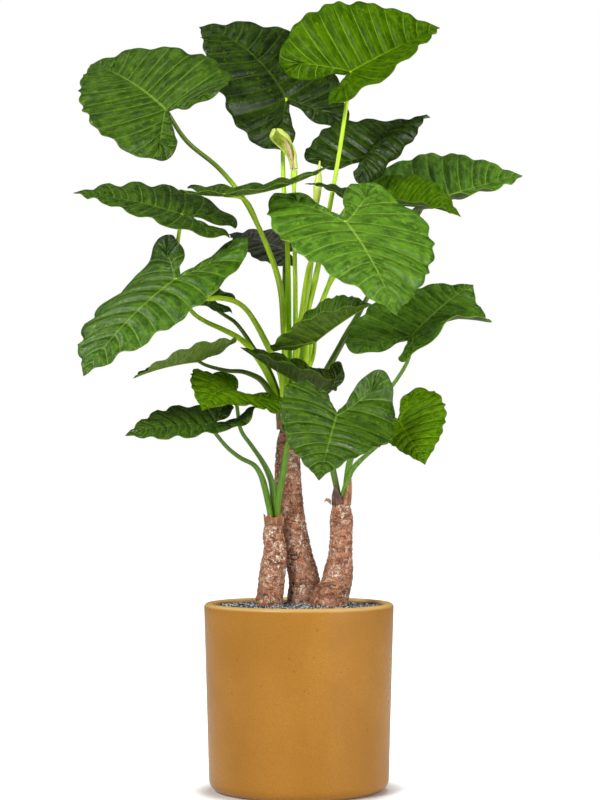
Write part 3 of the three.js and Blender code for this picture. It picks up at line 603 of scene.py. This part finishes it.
stalks = [
    {"name": "03", "radius": (5.6, 3.6), "way": [
        (-12, 40, 700), (-7, 43, 740), (4, 50, 813), (14, 51, 880), (29, 48, 939), (56, 36, 1072),
        (71, 33, 1155), (83, 35, 1231)]},
    {"name": "01", "look": "stalk_dusk", "radius": (5.6, 4.2), "way": [
        (-22, 46, 700), (-28, 40, 850), (-35, 30, 931), (-55, 18, 994), (-100, 15, 1089), (-149, 18, 1151),
        (-209, -5, 1200)]},
    {"name": "02", "radius": (5.6, 3.8), "way": [
        (-12, 52, 700), (-19, 52, 814), (-20, 50, 939), (-22, 60, 1015), (-30, 105, 1153), (-30, 130, 1238)]},
    {"name": "04", "radius": (5.6, 3.6), "way": [
        (-2, 46, 700), (20, 57, 820), (47, 63, 914), (57, 66, 940), (87, 80, 1032), (112, 92, 1110)]},
    {"name": "08", "radius": (5.6, 3.4), "way": [
        (-22, 34, 700), (-28, 18, 848), (-35, 5, 926), (-55, -10, 992), (-70, -28, 1027), (-97, -50, 1083)]},
    {"name": "12", "radius": (5.6, 4.4), "way": [
        (-28, 24, 700), (-33, 15, 764), (-46, 8, 795), (-65, -2, 833), (-79, -10, 859), (-98, -20, 886),
        (-117, -34, 899), (-143, -48, 904), (-167, -70, 902), (-196, -105, 912)]},
    {"name": "16", "look": "stalk_shade", "radius": (5.6, 3), "way": [
        (-34, 34, 700), (-69, 30, 755), (-87, 24, 766), (-106, 18, 772), (-132, 6, 773), (-171, -25, 782)]},
    {"name": "09", "radius": (5.6, 3.4), "way": [
        (-34, 46, 700), (-58, 46, 765), (-90, 42, 815), (-112, 38, 835), (-144, 32, 852), (-175, 25, 866),
        (-197, 16, 881), (-220, 12, 922), (-227, 0, 985), (-221, -25, 1028)]},
    {"name": "13", "look": "stalk_shade", "radius": (5.6, 3), "way": [
        (-28, 56, 700), (-60, 66, 782), (-81, 72, 811), (-100, 78, 841), (-121, 86, 868), (-150, 94, 888)]},
    {"name": "11", "look": "stalk_shade", "radius": (5.6, 3.2), "way": [
        (-18, 62, 700), (-28, 82, 851), (-28, 118, 965)]},
    {"name": "05", "look": "stalk_shade", "radius": (5.6, 3.6), "way": [
        (4, 56, 700), (43, 54, 761), (66, 55, 801), (92, 62, 848), (106, 70, 871), (164, 110, 978),
        (218, 160, 1060)]},
    {"name": "06", "radius": (5.6, 3.4), "way": [
        (10, 46, 700), (24, 41, 830), (46, 40, 912), (60, 40, 942), (133, 45, 1038)]},
    {"name": "07", "radius": (5.6, 3), "way": [
        (10, 34, 700), (15, 24, 829), (18, 22, 880), (28, 20, 937), (58, 15, 1026)]},
    {"name": "10", "radius": (5.6, 4), "way": [
        (-6, 18, 700), (-4, 14, 812), (5, 9, 877), (13, 0, 936), (22, -42, 971), (45, -87, 1001)]},
    {"name": "14", "radius": (5.6, 3), "way": [
        (4, 24, 700), (15, 12, 765), (26, -2, 798)]},
    {"name": "15", "look": "stalk_fresh", "radius": (5.2, 3.2), "way": [
        (84, -6, 537), (95, 0, 607), (124, 5, 672), (150, 0, 719), (178, -5, 752), (200, -12, 788),
        (207, -16, 812)]},
    {"name": "17", "look": "stalk_shade", "radius": (5.2, 3.2), "way": [
        (74, -4, 537), (67, -8, 570), (57, -18, 617), (42, -40, 690)]},
    {"name": "21", "look": "stalk_fresh", "radius": (5.2, 3.2), "way": [
        (79, -18, 537), (87, -22, 563), (96, -28, 587), (112, -33, 606), (145, -42, 635), (170, -52, 662)]},
    {"name": "18", "look": "stalk_fresh", "radius": (5.2, 3.2), "way": [
        (-46, 2, 502), (-50, -5, 563), (-57, -12, 585), (-70, -22, 609), (-88, -30, 635), (-106, -40, 662),
        (-113, -50, 703)]},
    {"name": "19", "look": "stalk_fresh", "radius": (5.2, 3.4), "way": [
        (-52, -9, 502), (-57, -13, 530), (-61, -20, 550), (-70, -32, 580), (-82, -42, 598), (-106, -55, 611),
        (-129, -68, 629), (-152, -84, 657)]},
    {"name": "20", "look": "stalk_fresh", "radius": (5.2, 4), "way": [
        (-40, -10, 502), (-37, -25, 541), (-27, -50, 593), (-17, -85, 644), (23, -160, 672)]},
]
flowerStalk = {"radius": (5.6, 3.6), "collar": 2.8, "way": [
    (-12, 28, 700), (-7, 33, 813), (-7, 31, 937), (-9, 25, 1054), (-9, 20, 1148)]}
flowerBud = {"radius": (5.6, 3.6), "swell": 4.4, "point": 6.2, "steps": 100, "way": [
    (-2, 34, 700), (5, 36, 813), (12, 35, 880), (19, 36, 938), (27, 33, 1018), (32, 30, 1083),
    (39, 30, 1167)]}
# turn is how far the slit of a clasping foot turns from one stalk to the next, in radians
stalkShape = {"sides": 20, "steps": 70, "swell": 1.2, "groove": 0.16, "grooveAt": 2.4, "grooveWidth": 0.3,
              "wobble": 0.04, "turn": 1.9}

# stalk_green is painted light, a very bright green for the stalks in the light, and stalk_dusk is the same
# darkening between two heights. stalk_shade is painted shade for stalks in the leaves' shadow, and
# stalk_fresh is a darker, greener copy for the low stalks.
litStalkGreen = {"pale": (0.70, 0.98, 0.016), "deep": (0.34, 0.64, 0.006), "brown": (0.26, 0.19, 0.01)}
stalkTones = {
    "stalk_green": litStalkGreen,
    "stalk_dusk": {**litStalkGreen, "top": {"heights": (1.085, 1.16), "colour": (0.13, 0.22, 0.004)}},
    "stalk_shade": {"pale": (0.15, 0.25, 0.008), "deep": (0.045, 0.10, 0.004), "brown": (0.10, 0.065, 0.01)},
    "stalk_fresh": {"pale": (0.17, 0.36, 0.008), "deep": (0.045, 0.14, 0.003), "brown": (0.09, 0.11, 0.008)},
    "spathe_green": {"pale": (0.80, 0.88, 0.20), "deep": (0.48, 0.66, 0.07), "brown": (0.42, 0.42, 0.10)},
}


def stalkMaterial(name, pale, deep, brown, top=None):
    material, shader = newMaterial(name)
    place = objectPlace(shader)
    streaks = noiseNode(stretched(ownMap(shader, "lengthMap"), (16, 1.2, 1)), 3, 4, 0.6)
    clouds = noiseNode(place, 22, 4)
    marks = noiseNode(stretched(place, (1, 1, 0.5)), 75, 4, 0.7)
    colour = layered(pale, (rangeNode(streaks, 0.35, 0.7), deep),
                     (rangeNode(clouds, 0.55, 0.8, 0, 0.4), deep),
                     (rangeNode(marks, 0.66, 0.75, 0, 0.4), brown))
    if top:
        # the stalk darkens between two heights
        height = splitVector(place)[2]
        colour = mixColour(rangeNode(height, *top["heights"]), colour, top["colour"])
    setShader(shader, colour, rangeNode(clouds, 0.3, 0.7, 0.32, 0.48), Subsurface_Weight=0.08,
              Subsurface_Scale=0.004, Subsurface_Radius=(0.6, 1.0, 0.15))
    addBump(shader, streaks, 0.35, 0.0006)
    return material


stalkMaterials = {name: stalkMaterial(name, **tone) for name, tone in stalkTones.items()}


def buildStalk(name, node, way, radiusAt, look, turn, steps=stalkShape["steps"]):
    bm = bmesh.new()
    path = smoothPath([Vector(point) * mm for point in way], steps)
    start = Vector((math.sin(turn), math.cos(turn), 0))

    def grooved(along, angle):
        fromSlit = (angle + math.pi) % math.tau - math.pi - stalkShape["grooveAt"]
        slit = math.exp(-(fromSlit / stalkShape["grooveWidth"]) ** 2)
        wobble = stalkShape["wobble"] * noise.noise(Vector((along * 9, turn * 5, math.cos(angle))))
        return radiusAt(along) * mm * (0.985 + wobble - stalkShape["groove"] * slit * ease(along, 0.75, 0.4))

    addTube(bm, path, grooved, stalkShape["sides"], start, 4)
    finishSolid(bm, name, [node], stalkMaterials[look])


def buildLeafStalk(stalk, turn):
    leafHere = next(leaf for leaf in leaves if leaf["name"] == stalk["name"])

    def swollenFoot(along):
        return lerp(*stalk["radius"], along) + stalkShape["swell"] * math.sin(math.pi * min(1, 2 * along))

    way = stalk["way"] + [leafHere["junction"]]
    buildStalk("leaf_stalk_" + stalk["name"], "petiole_" + stalk["name"], way, swollenFoot,
               stalk.get("look", "stalk_green"), turn)


def flowerStalkRadius(along):
    return lerp(*flowerStalk["radius"], along) + flowerStalk["collar"] * ease(along, 0.93, 0.97)


def budRadius(along):
    swollen = lerp(*flowerBud["radius"], along) + flowerBud["swell"] * ease(along, 0.78, 0.9)
    return swollen - flowerBud["point"] * ease(along, 0.9, 1)


for index, stalk in enumerate(stalks):
    buildLeafStalk(stalk, index * stalkShape["turn"])
buildStalk("flower_stem", "flower_stalk", flowerStalk["way"], flowerStalkRadius, "stalk_green",
           1.0)
buildStalk("closed_bud", "flower_bud", flowerBud["way"], budRadius, "spathe_green", 2.0,
           flowerBud["steps"])
print("leaf stalks done")


# Woody stems. Each section is x, y, z and radius in millimetres, from the foot in the soil up.

stems = {
    "left": [
        (-55, -5, 282, 24), (-55, -5, 343, 25), (-52, -5, 370, 24.4), (-48, -5, 405, 24),
        (-44, -5, 445, 20.5), (-48, -5, 474, 18.5), (-46, -5, 490, 15), (-46, -5, 501.7, 15),
    ],
    "middle": [
        (9, 40, 282, 30), (8.5, 40, 342, 31), (10, 40, 381, 29), (-2, 40, 432, 26.5), (-15, 40, 501, 26),
        (-19, 40, 540, 25.5), (-21, 40, 591, 24), (-19, 40, 641, 22), (-14, 40, 660, 22), (-12, 40, 684, 27),
        (-12, 40, 699.7, 29),
    ],
    "right": [
        (54, -10, 282, 33), (55, -10, 341, 34), (58, -10, 352, 33), (68, -10, 376, 29), (73, -10, 402, 27),
        (76, -10, 426, 22.8), (78, -10, 468, 20.6), (78.5, -10, 502, 21), (78, -10, 520, 17),
        (78, -10, 536.7, 15.5),
    ],
}
bark = {"sides": 72, "rowHeight": 1.6, "scarSpacing": 13, "scarDepth": 0.9, "scarWidth": 0.14,
        "scarTilt": 3.5, "swell": 0.5, "crack": 1.0, "inset": 0.2}
barkTones = {"deep": (0.13, 0.036, 0.014), "warm": (0.49, 0.19, 0.085), "rosy": (0.50, 0.27, 0.17),
             "patch": (0.76, 0.56, 0.41), "fleck": (0.92, 0.84, 0.68), "crack": (0.055, 0.018, 0.008)}


def barkMaterial():
    material, shader = newMaterial("bark")
    place = objectPlace(shader)
    rings = noiseNode(stretched(place, (0.35, 0.35, 1)), 140, 5, 0.75, 0.8)
    clouds = noiseNode(place, 24, 4, 0.6)
    patches = noiseNode(stretched(place, (0.8, 0.8, 1.2)), 75, 5, 0.8, 0.6)
    flecks = rangeNode(noiseNode(place, 150, 5, 0.85), 0.545, 0.585)
    flecked = rangeNode(noiseNode(place, 19, 3), 0.42, 0.56, 0.25, 1)
    cracks = noiseNode(stretched(place, (1, 1, 0.5)), 240, 5, 0.75)
    colour = layered(barkTones["deep"], (rangeNode(rings, 0.40, 0.58), barkTones["warm"]),
                     (rangeNode(clouds, 0.42, 0.66, 0, 0.5), barkTones["rosy"]),
                     (rangeNode(patches, 0.55, 0.61, 0, 0.8), barkTones["patch"]),
                     (times(flecks, flecked), barkTones["fleck"]),
                     (rangeNode(cracks, 0.46, 0.39, 0, 0.85), barkTones["crack"]))
    setShader(shader, colour, 0.8)
    addBump(shader, mathNode("ADD", rings, times(cracks, 0.6)), 0.8, 0.0018)
    return material


barkBrown = barkMaterial()


def buildStem(name, sections):
    bm = bmesh.new()
    points = [Vector(section[:3]) * mm for section in sections]
    radii = [Vector((section[3] * mm, 0, section[2] * mm)) for section in sections]
    foot, top = sections[0][2], sections[-1][2]
    rows = round((top - foot) / bark["rowHeight"])
    seed = sections[0][0] * 0.1
    scars = random.Random(name)
    edges = [foot]
    while edges[-1] < top:
        edges.append(edges[-1] + bark["scarSpacing"] * scars.uniform(0.6, 1.4))
    path = []
    reach = []
    for i in range(rows + 1):
        level = lerp(foot, top, i / rows)
        passed = sum(1 for section in sections if section[2] <= level)
        index = max(0, min(len(sections) - 2, passed - 1))
        share = (level - sections[index][2]) / (sections[index + 1][2] - sections[index][2])
        path.append(Vector((*curvePoint(points, index + share).xy, level * mm)))
        reach.append(curvePoint(radii, index + share).x)

    def barkRadius(along, angle):
        level = lerp(foot, top, along)
        east, north = math.cos(angle), math.sin(angle)
        tilted = level + bark["scarTilt"] * noise.noise(Vector((east * 1.2, north * 1.2, level / 40 + seed)))
        last = max(edge for edge in edges if edge <= max(tilted, edges[0]))
        above = (tilted - last) / bark["scarSpacing"]
        scar = -bark["scarDepth"] * math.exp(-(above / bark["scarWidth"]) ** 2)
        scar += bark["swell"] * math.sin(math.pi * min(1, above))
        fissure = noise.fractal(Vector((east * 5, north * 5, level / 9 + seed)), 0.6, 2, 3)
        return reach[round(along * rows)] + (scar + bark["crack"] * fissure - bark["inset"]) * mm

    addTube(bm, path, barkRadius, bark["sides"], Vector((0, 1, 0)))
    finishSolid(bm, "woody_stem_" + name, ["stem_" + name], barkBrown)


for stemName, stemSections in stems.items():
    buildStem(stemName, stemSections)
print("woody stems done")


# Pot, turned from its profile

pot = {"rimRadius": 175, "footRadius": 166, "height": 344, "wall": 16, "floor": 18, "footRound": 22,
       "rimRound": 7, "footSteps": 10, "sideSteps": 24, "rimSteps": 8, "steps": 160}
glaze = {"light": (0.455, 0.202, 0.024), "dark": (0.405, 0.176, 0.018), "run": (0.47, 0.215, 0.028),
         "grain": (0.24, 0.10, 0.01), "rim": (0.68, 0.42, 0.14), "pore": (0.16, 0.07, 0.02),
         "dust": (0.24, 0.10, 0.015), "rimHeights": (0.336, 0.3415)}


def glazeMaterial():
    material, shader = newMaterial("ochre_glaze")
    place = objectPlace(shader)
    clouds = noiseNode(place, 7, 4, 0.55)
    runs = noiseNode(stretched(place, (1, 1, 0.22)), 16, 3)
    grain = noiseNode(place, 420, 3, 0.6)
    # the glaze turns pale over the rounded top of the rim
    rim = rangeNode(splitVector(place)[2], *glaze["rimHeights"])
    pores = rangeNode(cellNode(place, 70), 0.06, 0.15, 0.75, 0)
    some = rangeNode(noiseNode(place, 31, 2), 0.52, 0.6)
    colour = layered(glaze["light"], (rangeNode(clouds, 0.35, 0.65), glaze["dark"]),
                     (rangeNode(runs, 0.5, 0.75, 0, 0.5), glaze["run"]),
                     (rangeNode(grain, 0.35, 0.65, 0.32, 0), glaze["grain"]), (rim, glaze["rim"]),
                     (times(pores, some), glaze["pore"]),
                     (rangeNode(cellNode(place, 210), 0.06, 0.12, 0.4, 0), glaze["dust"]))
    setShader(shader, colour, rangeNode(clouds, 0.3, 0.7, 0.26, 0.34), Specular_IOR_Level=0.25)
    addBump(shader, noiseNode(place, 9, 2), 0.25, 0.0012)
    return material


def addCorner(profile, centreRadius, centreHeight, radius, fromDegrees, toDegrees, steps):
    for i in range(steps + 1):
        angle = math.radians(lerp(fromDegrees, toDegrees, i / steps))
        profile.append((centreRadius + radius * math.cos(angle), centreHeight + radius * math.sin(angle)))


def buildPot():
    rim, foot, height, wall = pot["rimRadius"], pot["footRadius"], pot["height"], pot["wall"]
    footRound, rimRound, floor = pot["footRound"], pot["rimRound"], pot["floor"]
    rows, rimSteps = pot["sideSteps"], pot["rimSteps"]
    profile = [(0, 0), (foot * 0.6, 0)]
    addCorner(profile, foot - footRound, footRound, footRound, -90, 0, pot["footSteps"])
    sideFrom, sideTo = profile[-1], (rim, height - rimRound)
    for i in range(1, rows):
        profile.append((lerp(sideFrom[0], sideTo[0], i / rows), lerp(sideFrom[1], sideTo[1], i / rows)))
    addCorner(profile, rim - rimRound, height - rimRound, rimRound, 0, 90, rimSteps)
    addCorner(profile, rim - wall + rimRound, height - rimRound, rimRound, 90, 180, rimSteps)
    profile += [(foot - wall, floor), (foot * 0.5, floor), (0, floor)]
    bm = bmesh.new()
    verts = [bm.verts.new((radius * mm, 0, level * mm)) for radius, level in profile]
    edges = [bm.edges.new(pair) for pair in zip(verts, verts[1:])]
    bmesh.ops.spin(bm, geom=verts + edges, cent=(0, 0, 0), axis=(0, 0, 1), angle=math.tau, steps=pot["steps"],
                   use_merge=True)
    bmesh.ops.remove_doubles(bm, verts=bm.verts[:], dist=1e-6)
    finishSolid(bm, "glazed_pot", ["pot"], glazeMaterial())


buildPot()
print("pot done")


# Soil and grit. The two CAD beds stay, and loose grains lie on the upper one.

beds = {
    "soil": {"name": "dark_soil", "pale": (0.05, 0.032, 0.02), "deep": (0.02, 0.012, 0.008)},
    "grit": {"name": "grit_bed", "pale": (0.08, 0.09, 0.10), "deep": (0.03, 0.034, 0.038)},
}
stones = {
    "pale": {"pale": (0.66, 0.70, 0.68), "deep": (0.40, 0.45, 0.46), "share": 0.30},
    "slate": {"pale": (0.07, 0.10, 0.11), "deep": (0.018, 0.028, 0.032), "share": 0.57},
    "rosy": {"pale": (0.30, 0.25, 0.22), "deep": (0.15, 0.12, 0.10), "share": 0.13},
}
grit = {"edge": 335, "crown": 340, "ripple": 1.2, "radius": 158, "grains": 4600, "size": (1.6, 2.8),
        "flatness": (1, 0.85, 0.7), "shapes": 14}
goldenAngle = 2.39996


def gravelMaterial(name, pale, deep):
    material, shader = newMaterial(name)
    place = objectPlace(shader)
    clouds = noiseNode(place, 180, 4, 0.65)
    grains = splitVector(cellNode(place, 420, "Color"), "ShaderNodeSeparateColor")[0]
    colour = layered(pale, (grains, deep), (rangeNode(clouds, 0.35, 0.65, 0, 0.5), deep))
    setShader(shader, colour, 0.85)
    addBump(shader, clouds, 0.6, 0.0008)
    return material


for nodeName, bed in beds.items():
    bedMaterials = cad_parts[nodeName].data.materials
    bedMaterials.clear()
    bedMaterials.append(gravelMaterial(**bed))


def gritLevel(x, y):
    share = 1 - min(1, math.hypot(x, y) / grit["radius"])
    level = lerp(grit["edge"], grit["crown"], share)
    return level + grit["ripple"] * math.sin(x * 0.23 + 1) * math.cos(y * 0.27)


def buildGrit():
    spread = random.Random(7)
    shapes = []
    for i in range(grit["shapes"]):
        bm = bmesh.new()
        bmesh.ops.create_icosphere(bm, subdivisions=1, radius=1)
        for vert in bm.verts:
            vert.co *= spread.uniform(0.72, 1.12)
        shapes.append([addMesh(bm, "grain_shape"), Matrix.Identity(4)])
    feet = [(sections[1][0], sections[1][1], sections[1][3]) for sections in stems.values()]
    heaps = {name: bmesh.new() for name in stones}
    names = list(stones)
    shares = [stone["share"] for stone in stones.values()]
    for i in range(grit["grains"]):
        distance = grit["radius"] * math.sqrt((i + 0.5) / grit["grains"])
        angle = i * goldenAngle + spread.uniform(-0.012, 0.012)
        x, y = distance * math.cos(angle), distance * math.sin(angle)
        size = spread.uniform(*grit["size"])
        name = spread.choices(names, shares)[0]
        turn = [spread.uniform(0, math.tau) for axis in range(3)]
        if distance > grit["radius"] - size - 0.3:
            continue
        if any(math.hypot(x - cx, y - cy) < radius + size * 0.6 for cx, cy, radius in feet):
            continue
        level = gritLevel(x, y) + size * spread.uniform(0.0, 0.7)
        turned = Matrix.Rotation(turn[0], 3, "X") @ Matrix.Rotation(turn[1], 3, "Z")
        target = Matrix.LocRotScale(Vector((x, y, level)) * mm, turned, Vector(grit["flatness"]) * size * mm)
        shape = spread.choice(shapes)
        shape[0].transform(target @ shape[1].inverted())
        shape[1] = target
        heaps[name].from_mesh(shape[0])
    for name, bm in heaps.items():
        stone = stones[name]
        material = gravelMaterial("grit_" + name, stone["pale"], stone["deep"])
        finishPiece(bm, "grit_grains_" + name, [], [material], smooth=False)
    for mesh, placed in shapes:
        bpy.data.meshes.remove(mesh)


buildGrit()
print("grit done")


# Papery sheaths of old leaves: strips of a cone round a stem with a torn upper edge. low and high are
# height and radius, and edge is how much of the strip is left from one side to the other.

sheaths = [
    {"name": "left", "centre": (-46, -5), "low": (486, 17.2), "high": (509, 19.2), "turn": (150, 400),
     "edge": [0.8, 1, 0.7, 0.95, 0.6, 1, 0.75, 0.9, 0.65], "look": "pale"},
    {"name": "middle", "centre": (-12, 40), "low": (664, 29.5), "high": (722, 31.5), "turn": (165, 225),
     "edge": [0.3, 0.8, 1, 0.7, 0.4], "look": "pale"},
    {"name": "right_dark", "centre": (78, -10), "low": (525, 17.4), "high": (562, 18), "turn": (185, 275),
     "edge": [0.3, 0.6, 1, 0.7, 0.3], "look": "dark"},
    {"name": "right_pale", "centre": (78, -10), "low": (524, 17.8), "high": (574, 21.5), "turn": (283, 365),
     "edge": [0.3, 0.7, 1, 0.75, 0.3], "look": "pale"},
]
sheathShape = {"columns": 90, "rows": 24, "thickness": 0.7, "crinkle": 0.9, "tear": 0.08, "frayed": 7}
scrap = {"way": [(59.2, -18, 530), (54.5, -20, 534), (50, -21, 535), (47.5, -21, 531)], "wide": 5,
         "narrow": 1.4, "thickness": 0.8, "crinkle": 0.8, "columns": 30, "rows": 10}
papers = {
    "pale": {"slot": "dry_sheath", "pale": (0.62, 0.31, 0.14), "deep": (0.20, 0.075, 0.03)},
    "dark": {"slot": "dark_sheath", "pale": (0.20, 0.10, 0.075), "deep": (0.07, 0.035, 0.028)},
}


def paperMaterial(name, pale, deep):
    material, shader = newMaterial(name)
    place = objectPlace(shader)
    fibres = noiseNode(stretched(place, (1, 1, 0.12)), 260, 4, 0.65)
    clouds = noiseNode(place, 60, 4, 0.6)
    colour = layered(pale, (rangeNode(fibres, 0.3, 0.7), deep),
                     (rangeNode(clouds, 0.48, 0.62, 0, 0.8), deep))
    setShader(shader, colour, 0.75)
    addBump(shader, fibres, 0.6, 0.0008)
    return material


paperMaterials = {look: paperMaterial(look + "_paper", paper["pale"], paper["deep"])
                  for look, paper in papers.items()}


def buildSheath(sheath):
    bm = bmesh.new()
    addGrid(bm, sheathShape["columns"], sheathShape["rows"])
    edge = [Vector((height, 0, 0)) for height in sheath["edge"]]
    (lowLevel, lowRadius), (highLevel, highRadius) = sheath["low"], sheath["high"]
    for vert in bm.verts:
        across, share = (vert.co.x + 1) / 2, (vert.co.y + 1) / 2
        torn = curvePoint(edge, across * (len(edge) - 1)).x
        torn += sheathShape["tear"] * noise.fractal(Vector((across * 26, lowLevel, 0)), 0.5, 2, 4)
        share *= min(1, torn)
        angle = math.radians(lerp(*sheath["turn"], across))
        crinkle = sheathShape["crinkle"] * noise.noise(Vector((across * 14, share * 2.5, lowLevel * 0.1)))
        radius = lerp(lowRadius, highRadius, share) + crinkle * (0.3 + share)
        frayed = abs(noise.fractal(Vector((across * 9, 5, lowLevel)), 0.6, 2, 4))
        level = lerp(lowLevel, highLevel, share) + sheathShape["frayed"] * frayed * (1 - share) ** 2
        x, y = sheath["centre"]
        vert.co = Vector((x + radius * math.cos(angle), y + radius * math.sin(angle), level)) * mm
    look = sheath["look"]
    thickenSheet(finishPiece(bm, "papery_sheath_" + sheath["name"], ["sheath_" + sheath["name"]],
                             [paperMaterials[look]]), sheathShape["thickness"])


def buildScrap():
    bm = bmesh.new()
    addGrid(bm, scrap["columns"], scrap["rows"])
    way = [Vector(point) for point in scrap["way"]]
    for vert in bm.verts:
        along, across = (vert.co.x + 1) / 2, vert.co.y
        half = lerp(scrap["wide"], scrap["narrow"], along)
        place = curvePoint(way, along * (len(way) - 1))
        rise = across * half * (0.6 if across > 0 else 1)
        crinkle = scrap["crinkle"] * noise.noise(Vector((along * 5, across * 3, 4)))
        vert.co = (place + Vector((crinkle, across * half, rise))) * mm
    thickenSheet(finishPiece(bm, "sheath_scrap_curl", ["sheath_scrap"],
                             [paperMaterials["pale"]]), scrap["thickness"])


for sheathSettings in sheaths:
    buildSheath(sheathSettings)
buildScrap()
print("sheaths done")


# Spathe and spadix. Each ring is x, y, z, radius and half angle; the spathe is a hood open to the front.

spathe = {"opening": 258, "columns": 48, "rows": 40, "thickness": 1.1, "rings": [
    (-9, 20, 1150.5, 6.6, 165), (-11, 19, 1164, 7.2, 158), (-15, 18, 1178, 10, 125), (-24, 16, 1192, 14, 100),
    (-33, 14, 1203, 17.5, 125), (-37, 13, 1213, 17, 160), (-41, 12, 1224, 8, 172),
]}
spadix = {"way": [(-9, 20, 1149.1), (-12, 18, 1166), (-18, 15, 1186), (-23, 13, 1203)], "radius": 4.2,
          "taper": 1.7, "knobs": 0.28, "knobRows": 46, "knobsAround": 9, "sides": 36, "steps": 80}


def buildSpathe():
    bm = bmesh.new()
    addGrid(bm, spathe["columns"], spathe["rows"])
    centres = [Vector(ring[:3]) for ring in spathe["rings"]]
    shapes = [Vector((ring[3], ring[4], 0)) for ring in spathe["rings"]]
    for vert in bm.verts:
        across, place = vert.co.x, (vert.co.y + 1) / 2 * (len(centres) - 1)
        centre = curvePoint(centres, place)
        radius, halfAngle = curvePoint(shapes, place).xy
        radius += 0.25 * math.cos(across * 40) * ease(place, 0.5, 2)
        angle = math.radians(spathe["opening"] + 180 + halfAngle * across)
        vert.co = (centre + Vector((math.cos(angle), math.sin(angle), 0)) * radius) * mm
    bmesh.ops.recalc_face_normals(bm, faces=bm.faces[:])
    piece = finishPiece(bm, "open_spathe", ["spathe"], [stalkMaterials["spathe_green"]])
    thickenSheet(piece, spathe["thickness"])


def spadixMaterial():
    material, shader = newMaterial("spadix_cream")
    knobs = cellNode(objectPlace(shader), 620)
    colour = mixColour(rangeNode(knobs, 0.1, 0.5), (0.88, 0.74, 0.56), (0.66, 0.44, 0.27))
    setShader(shader, colour, 0.6)
    addBump(shader, knobs, 0.8, -0.0008)
    return material


def buildSpadix():
    bm = bmesh.new()
    path = smoothPath([Vector(point) * mm for point in spadix["way"]], spadix["steps"])

    def knobbed(along, angle):
        row = along * spadix["knobRows"]
        shift = math.pi * (int(row) % 2)
        knob = math.cos(angle * spadix["knobsAround"] + shift) * math.sin(math.pi * (row % 1))
        return (spadix["radius"] - spadix["taper"] * along ** 4 + spadix["knobs"] * (knob - 0.5)) * mm

    addTube(bm, path, knobbed, spadix["sides"], Vector((0, 1, 0)))
    finishSolid(bm, "flower_spadix", ["spadix"], spadixMaterial())


buildSpathe()
buildSpadix()
print("flower done")


# Camera, lights and floor

view = {"place": (0.002, -4.06, 0.613), "pitch": 91.49, "lens": 98.64, "sensor": 36}
lights = {
    "key_light": {"place": (-2.8, -4.0, 3.4), "target": (0, 0, 0.8), "size": 2.2, "power": 228},
    "fill_light": {"place": (3.4, -2.8, 1.5), "target": (0, 0, 0.7), "size": 2.5, "power": 100},
    "top_light": {"place": (0.5, 2.2, 4.2), "target": (0, 0, 0.9), "size": 2.0, "power": 95, "glossy": False},
    "side_light": {"place": (3.6, -0.5, 1.0), "target": (0, 0, 0.3), "size": 1.3, "power": 22,
                   "diffuse": False},
    "crown_light": {"place": (-0.3, -0.3, 3.6), "target": (0, 0, 0.9), "size": 0.6, "power": 3.5,
                    "diffuse": False},
    "sheen_light": {"place": (-2.6, 0.9, 2.3), "target": (0, 0, 0.9), "size": 0.9, "power": 12,
                    "diffuse": False},
}
# diffuse and gloss are how bright the white world is as a light. Between the two distances of white from the
# middle, in metres, the floor turns white.
studio = {"diffuse": 0.25, "gloss": 0.05, "white": (0.165, 0.24), "floorSize": 8,
          "floorGreys": ((0.86, 0.86, 0.86), (0.88, 0.88, 0.88))}


def addCamera():
    data = bpy.data.cameras.new("camera")
    data.sensor_fit = "VERTICAL"
    data.sensor_height = view["sensor"]
    data.lens = view["lens"]
    camera = addObject("camera", data)
    camera.location = view["place"]
    camera.rotation_euler = (math.radians(view["pitch"]), 0, 0)
    bpy.context.scene.camera = camera


def addLight(name, place, target, size, power, glossy=True, diffuse=True):
    data = bpy.data.lights.new(name, "AREA")
    data.shape = "DISK"
    data.size = size
    data.energy = power
    light = addObject(name, data)
    light.location = place
    light.rotation_euler = (Vector(target) - Vector(place)).to_track_quat("-Z", "Y").to_euler()
    light.visible_glossy = glossy
    light.visible_diffuse = diffuse


def addFloor():
    material, shader = newMaterial("pale_floor")
    place = objectPlace(shader)
    # the sweep brightens to white away from the pot
    away = addNode(place, "ShaderNodeVectorMath", operation="LENGTH")
    fill(away.inputs[0], place)
    glow = rangeNode(away.outputs["Value"], *studio["white"])
    seen = addNode(shader, "ShaderNodeLightPath").outputs["Is Camera Ray"]
    colour = mixColour(noiseNode(place, 3, 2), *studio["floorGreys"])
    setShader(shader, colour, 0.9, Emission_Color=(1, 1, 1), Emission_Strength=times(glow, seen))
    bm = bmesh.new()
    addGrid(bm, 2, 2, studio["floorSize"])
    addObject("floor", addMesh(bm, "floor", [material]))


def addWorld():
    world = bpy.data.worlds.new("studio")
    world.use_nodes = True
    background = world.node_tree.nodes["Background"]
    # white behind the plant, and softer as a light
    rays = addNode(background, "ShaderNodeLightPath").outputs
    soft = rangeNode(rays["Is Diffuse Ray"], 0, 1, studio["gloss"], studio["diffuse"])
    fill(background.inputs["Color"], (1, 1, 1))
    fill(background.inputs["Strength"], mathNode("MAXIMUM", soft, rays["Is Camera Ray"]))
    bpy.context.scene.world = world


addCamera()
addFloor()
addWorld()
for lightName, lightSettings in lights.items():
    addLight(lightName, **lightSettings)
bpy.context.scene.view_settings.view_transform = "Standard"
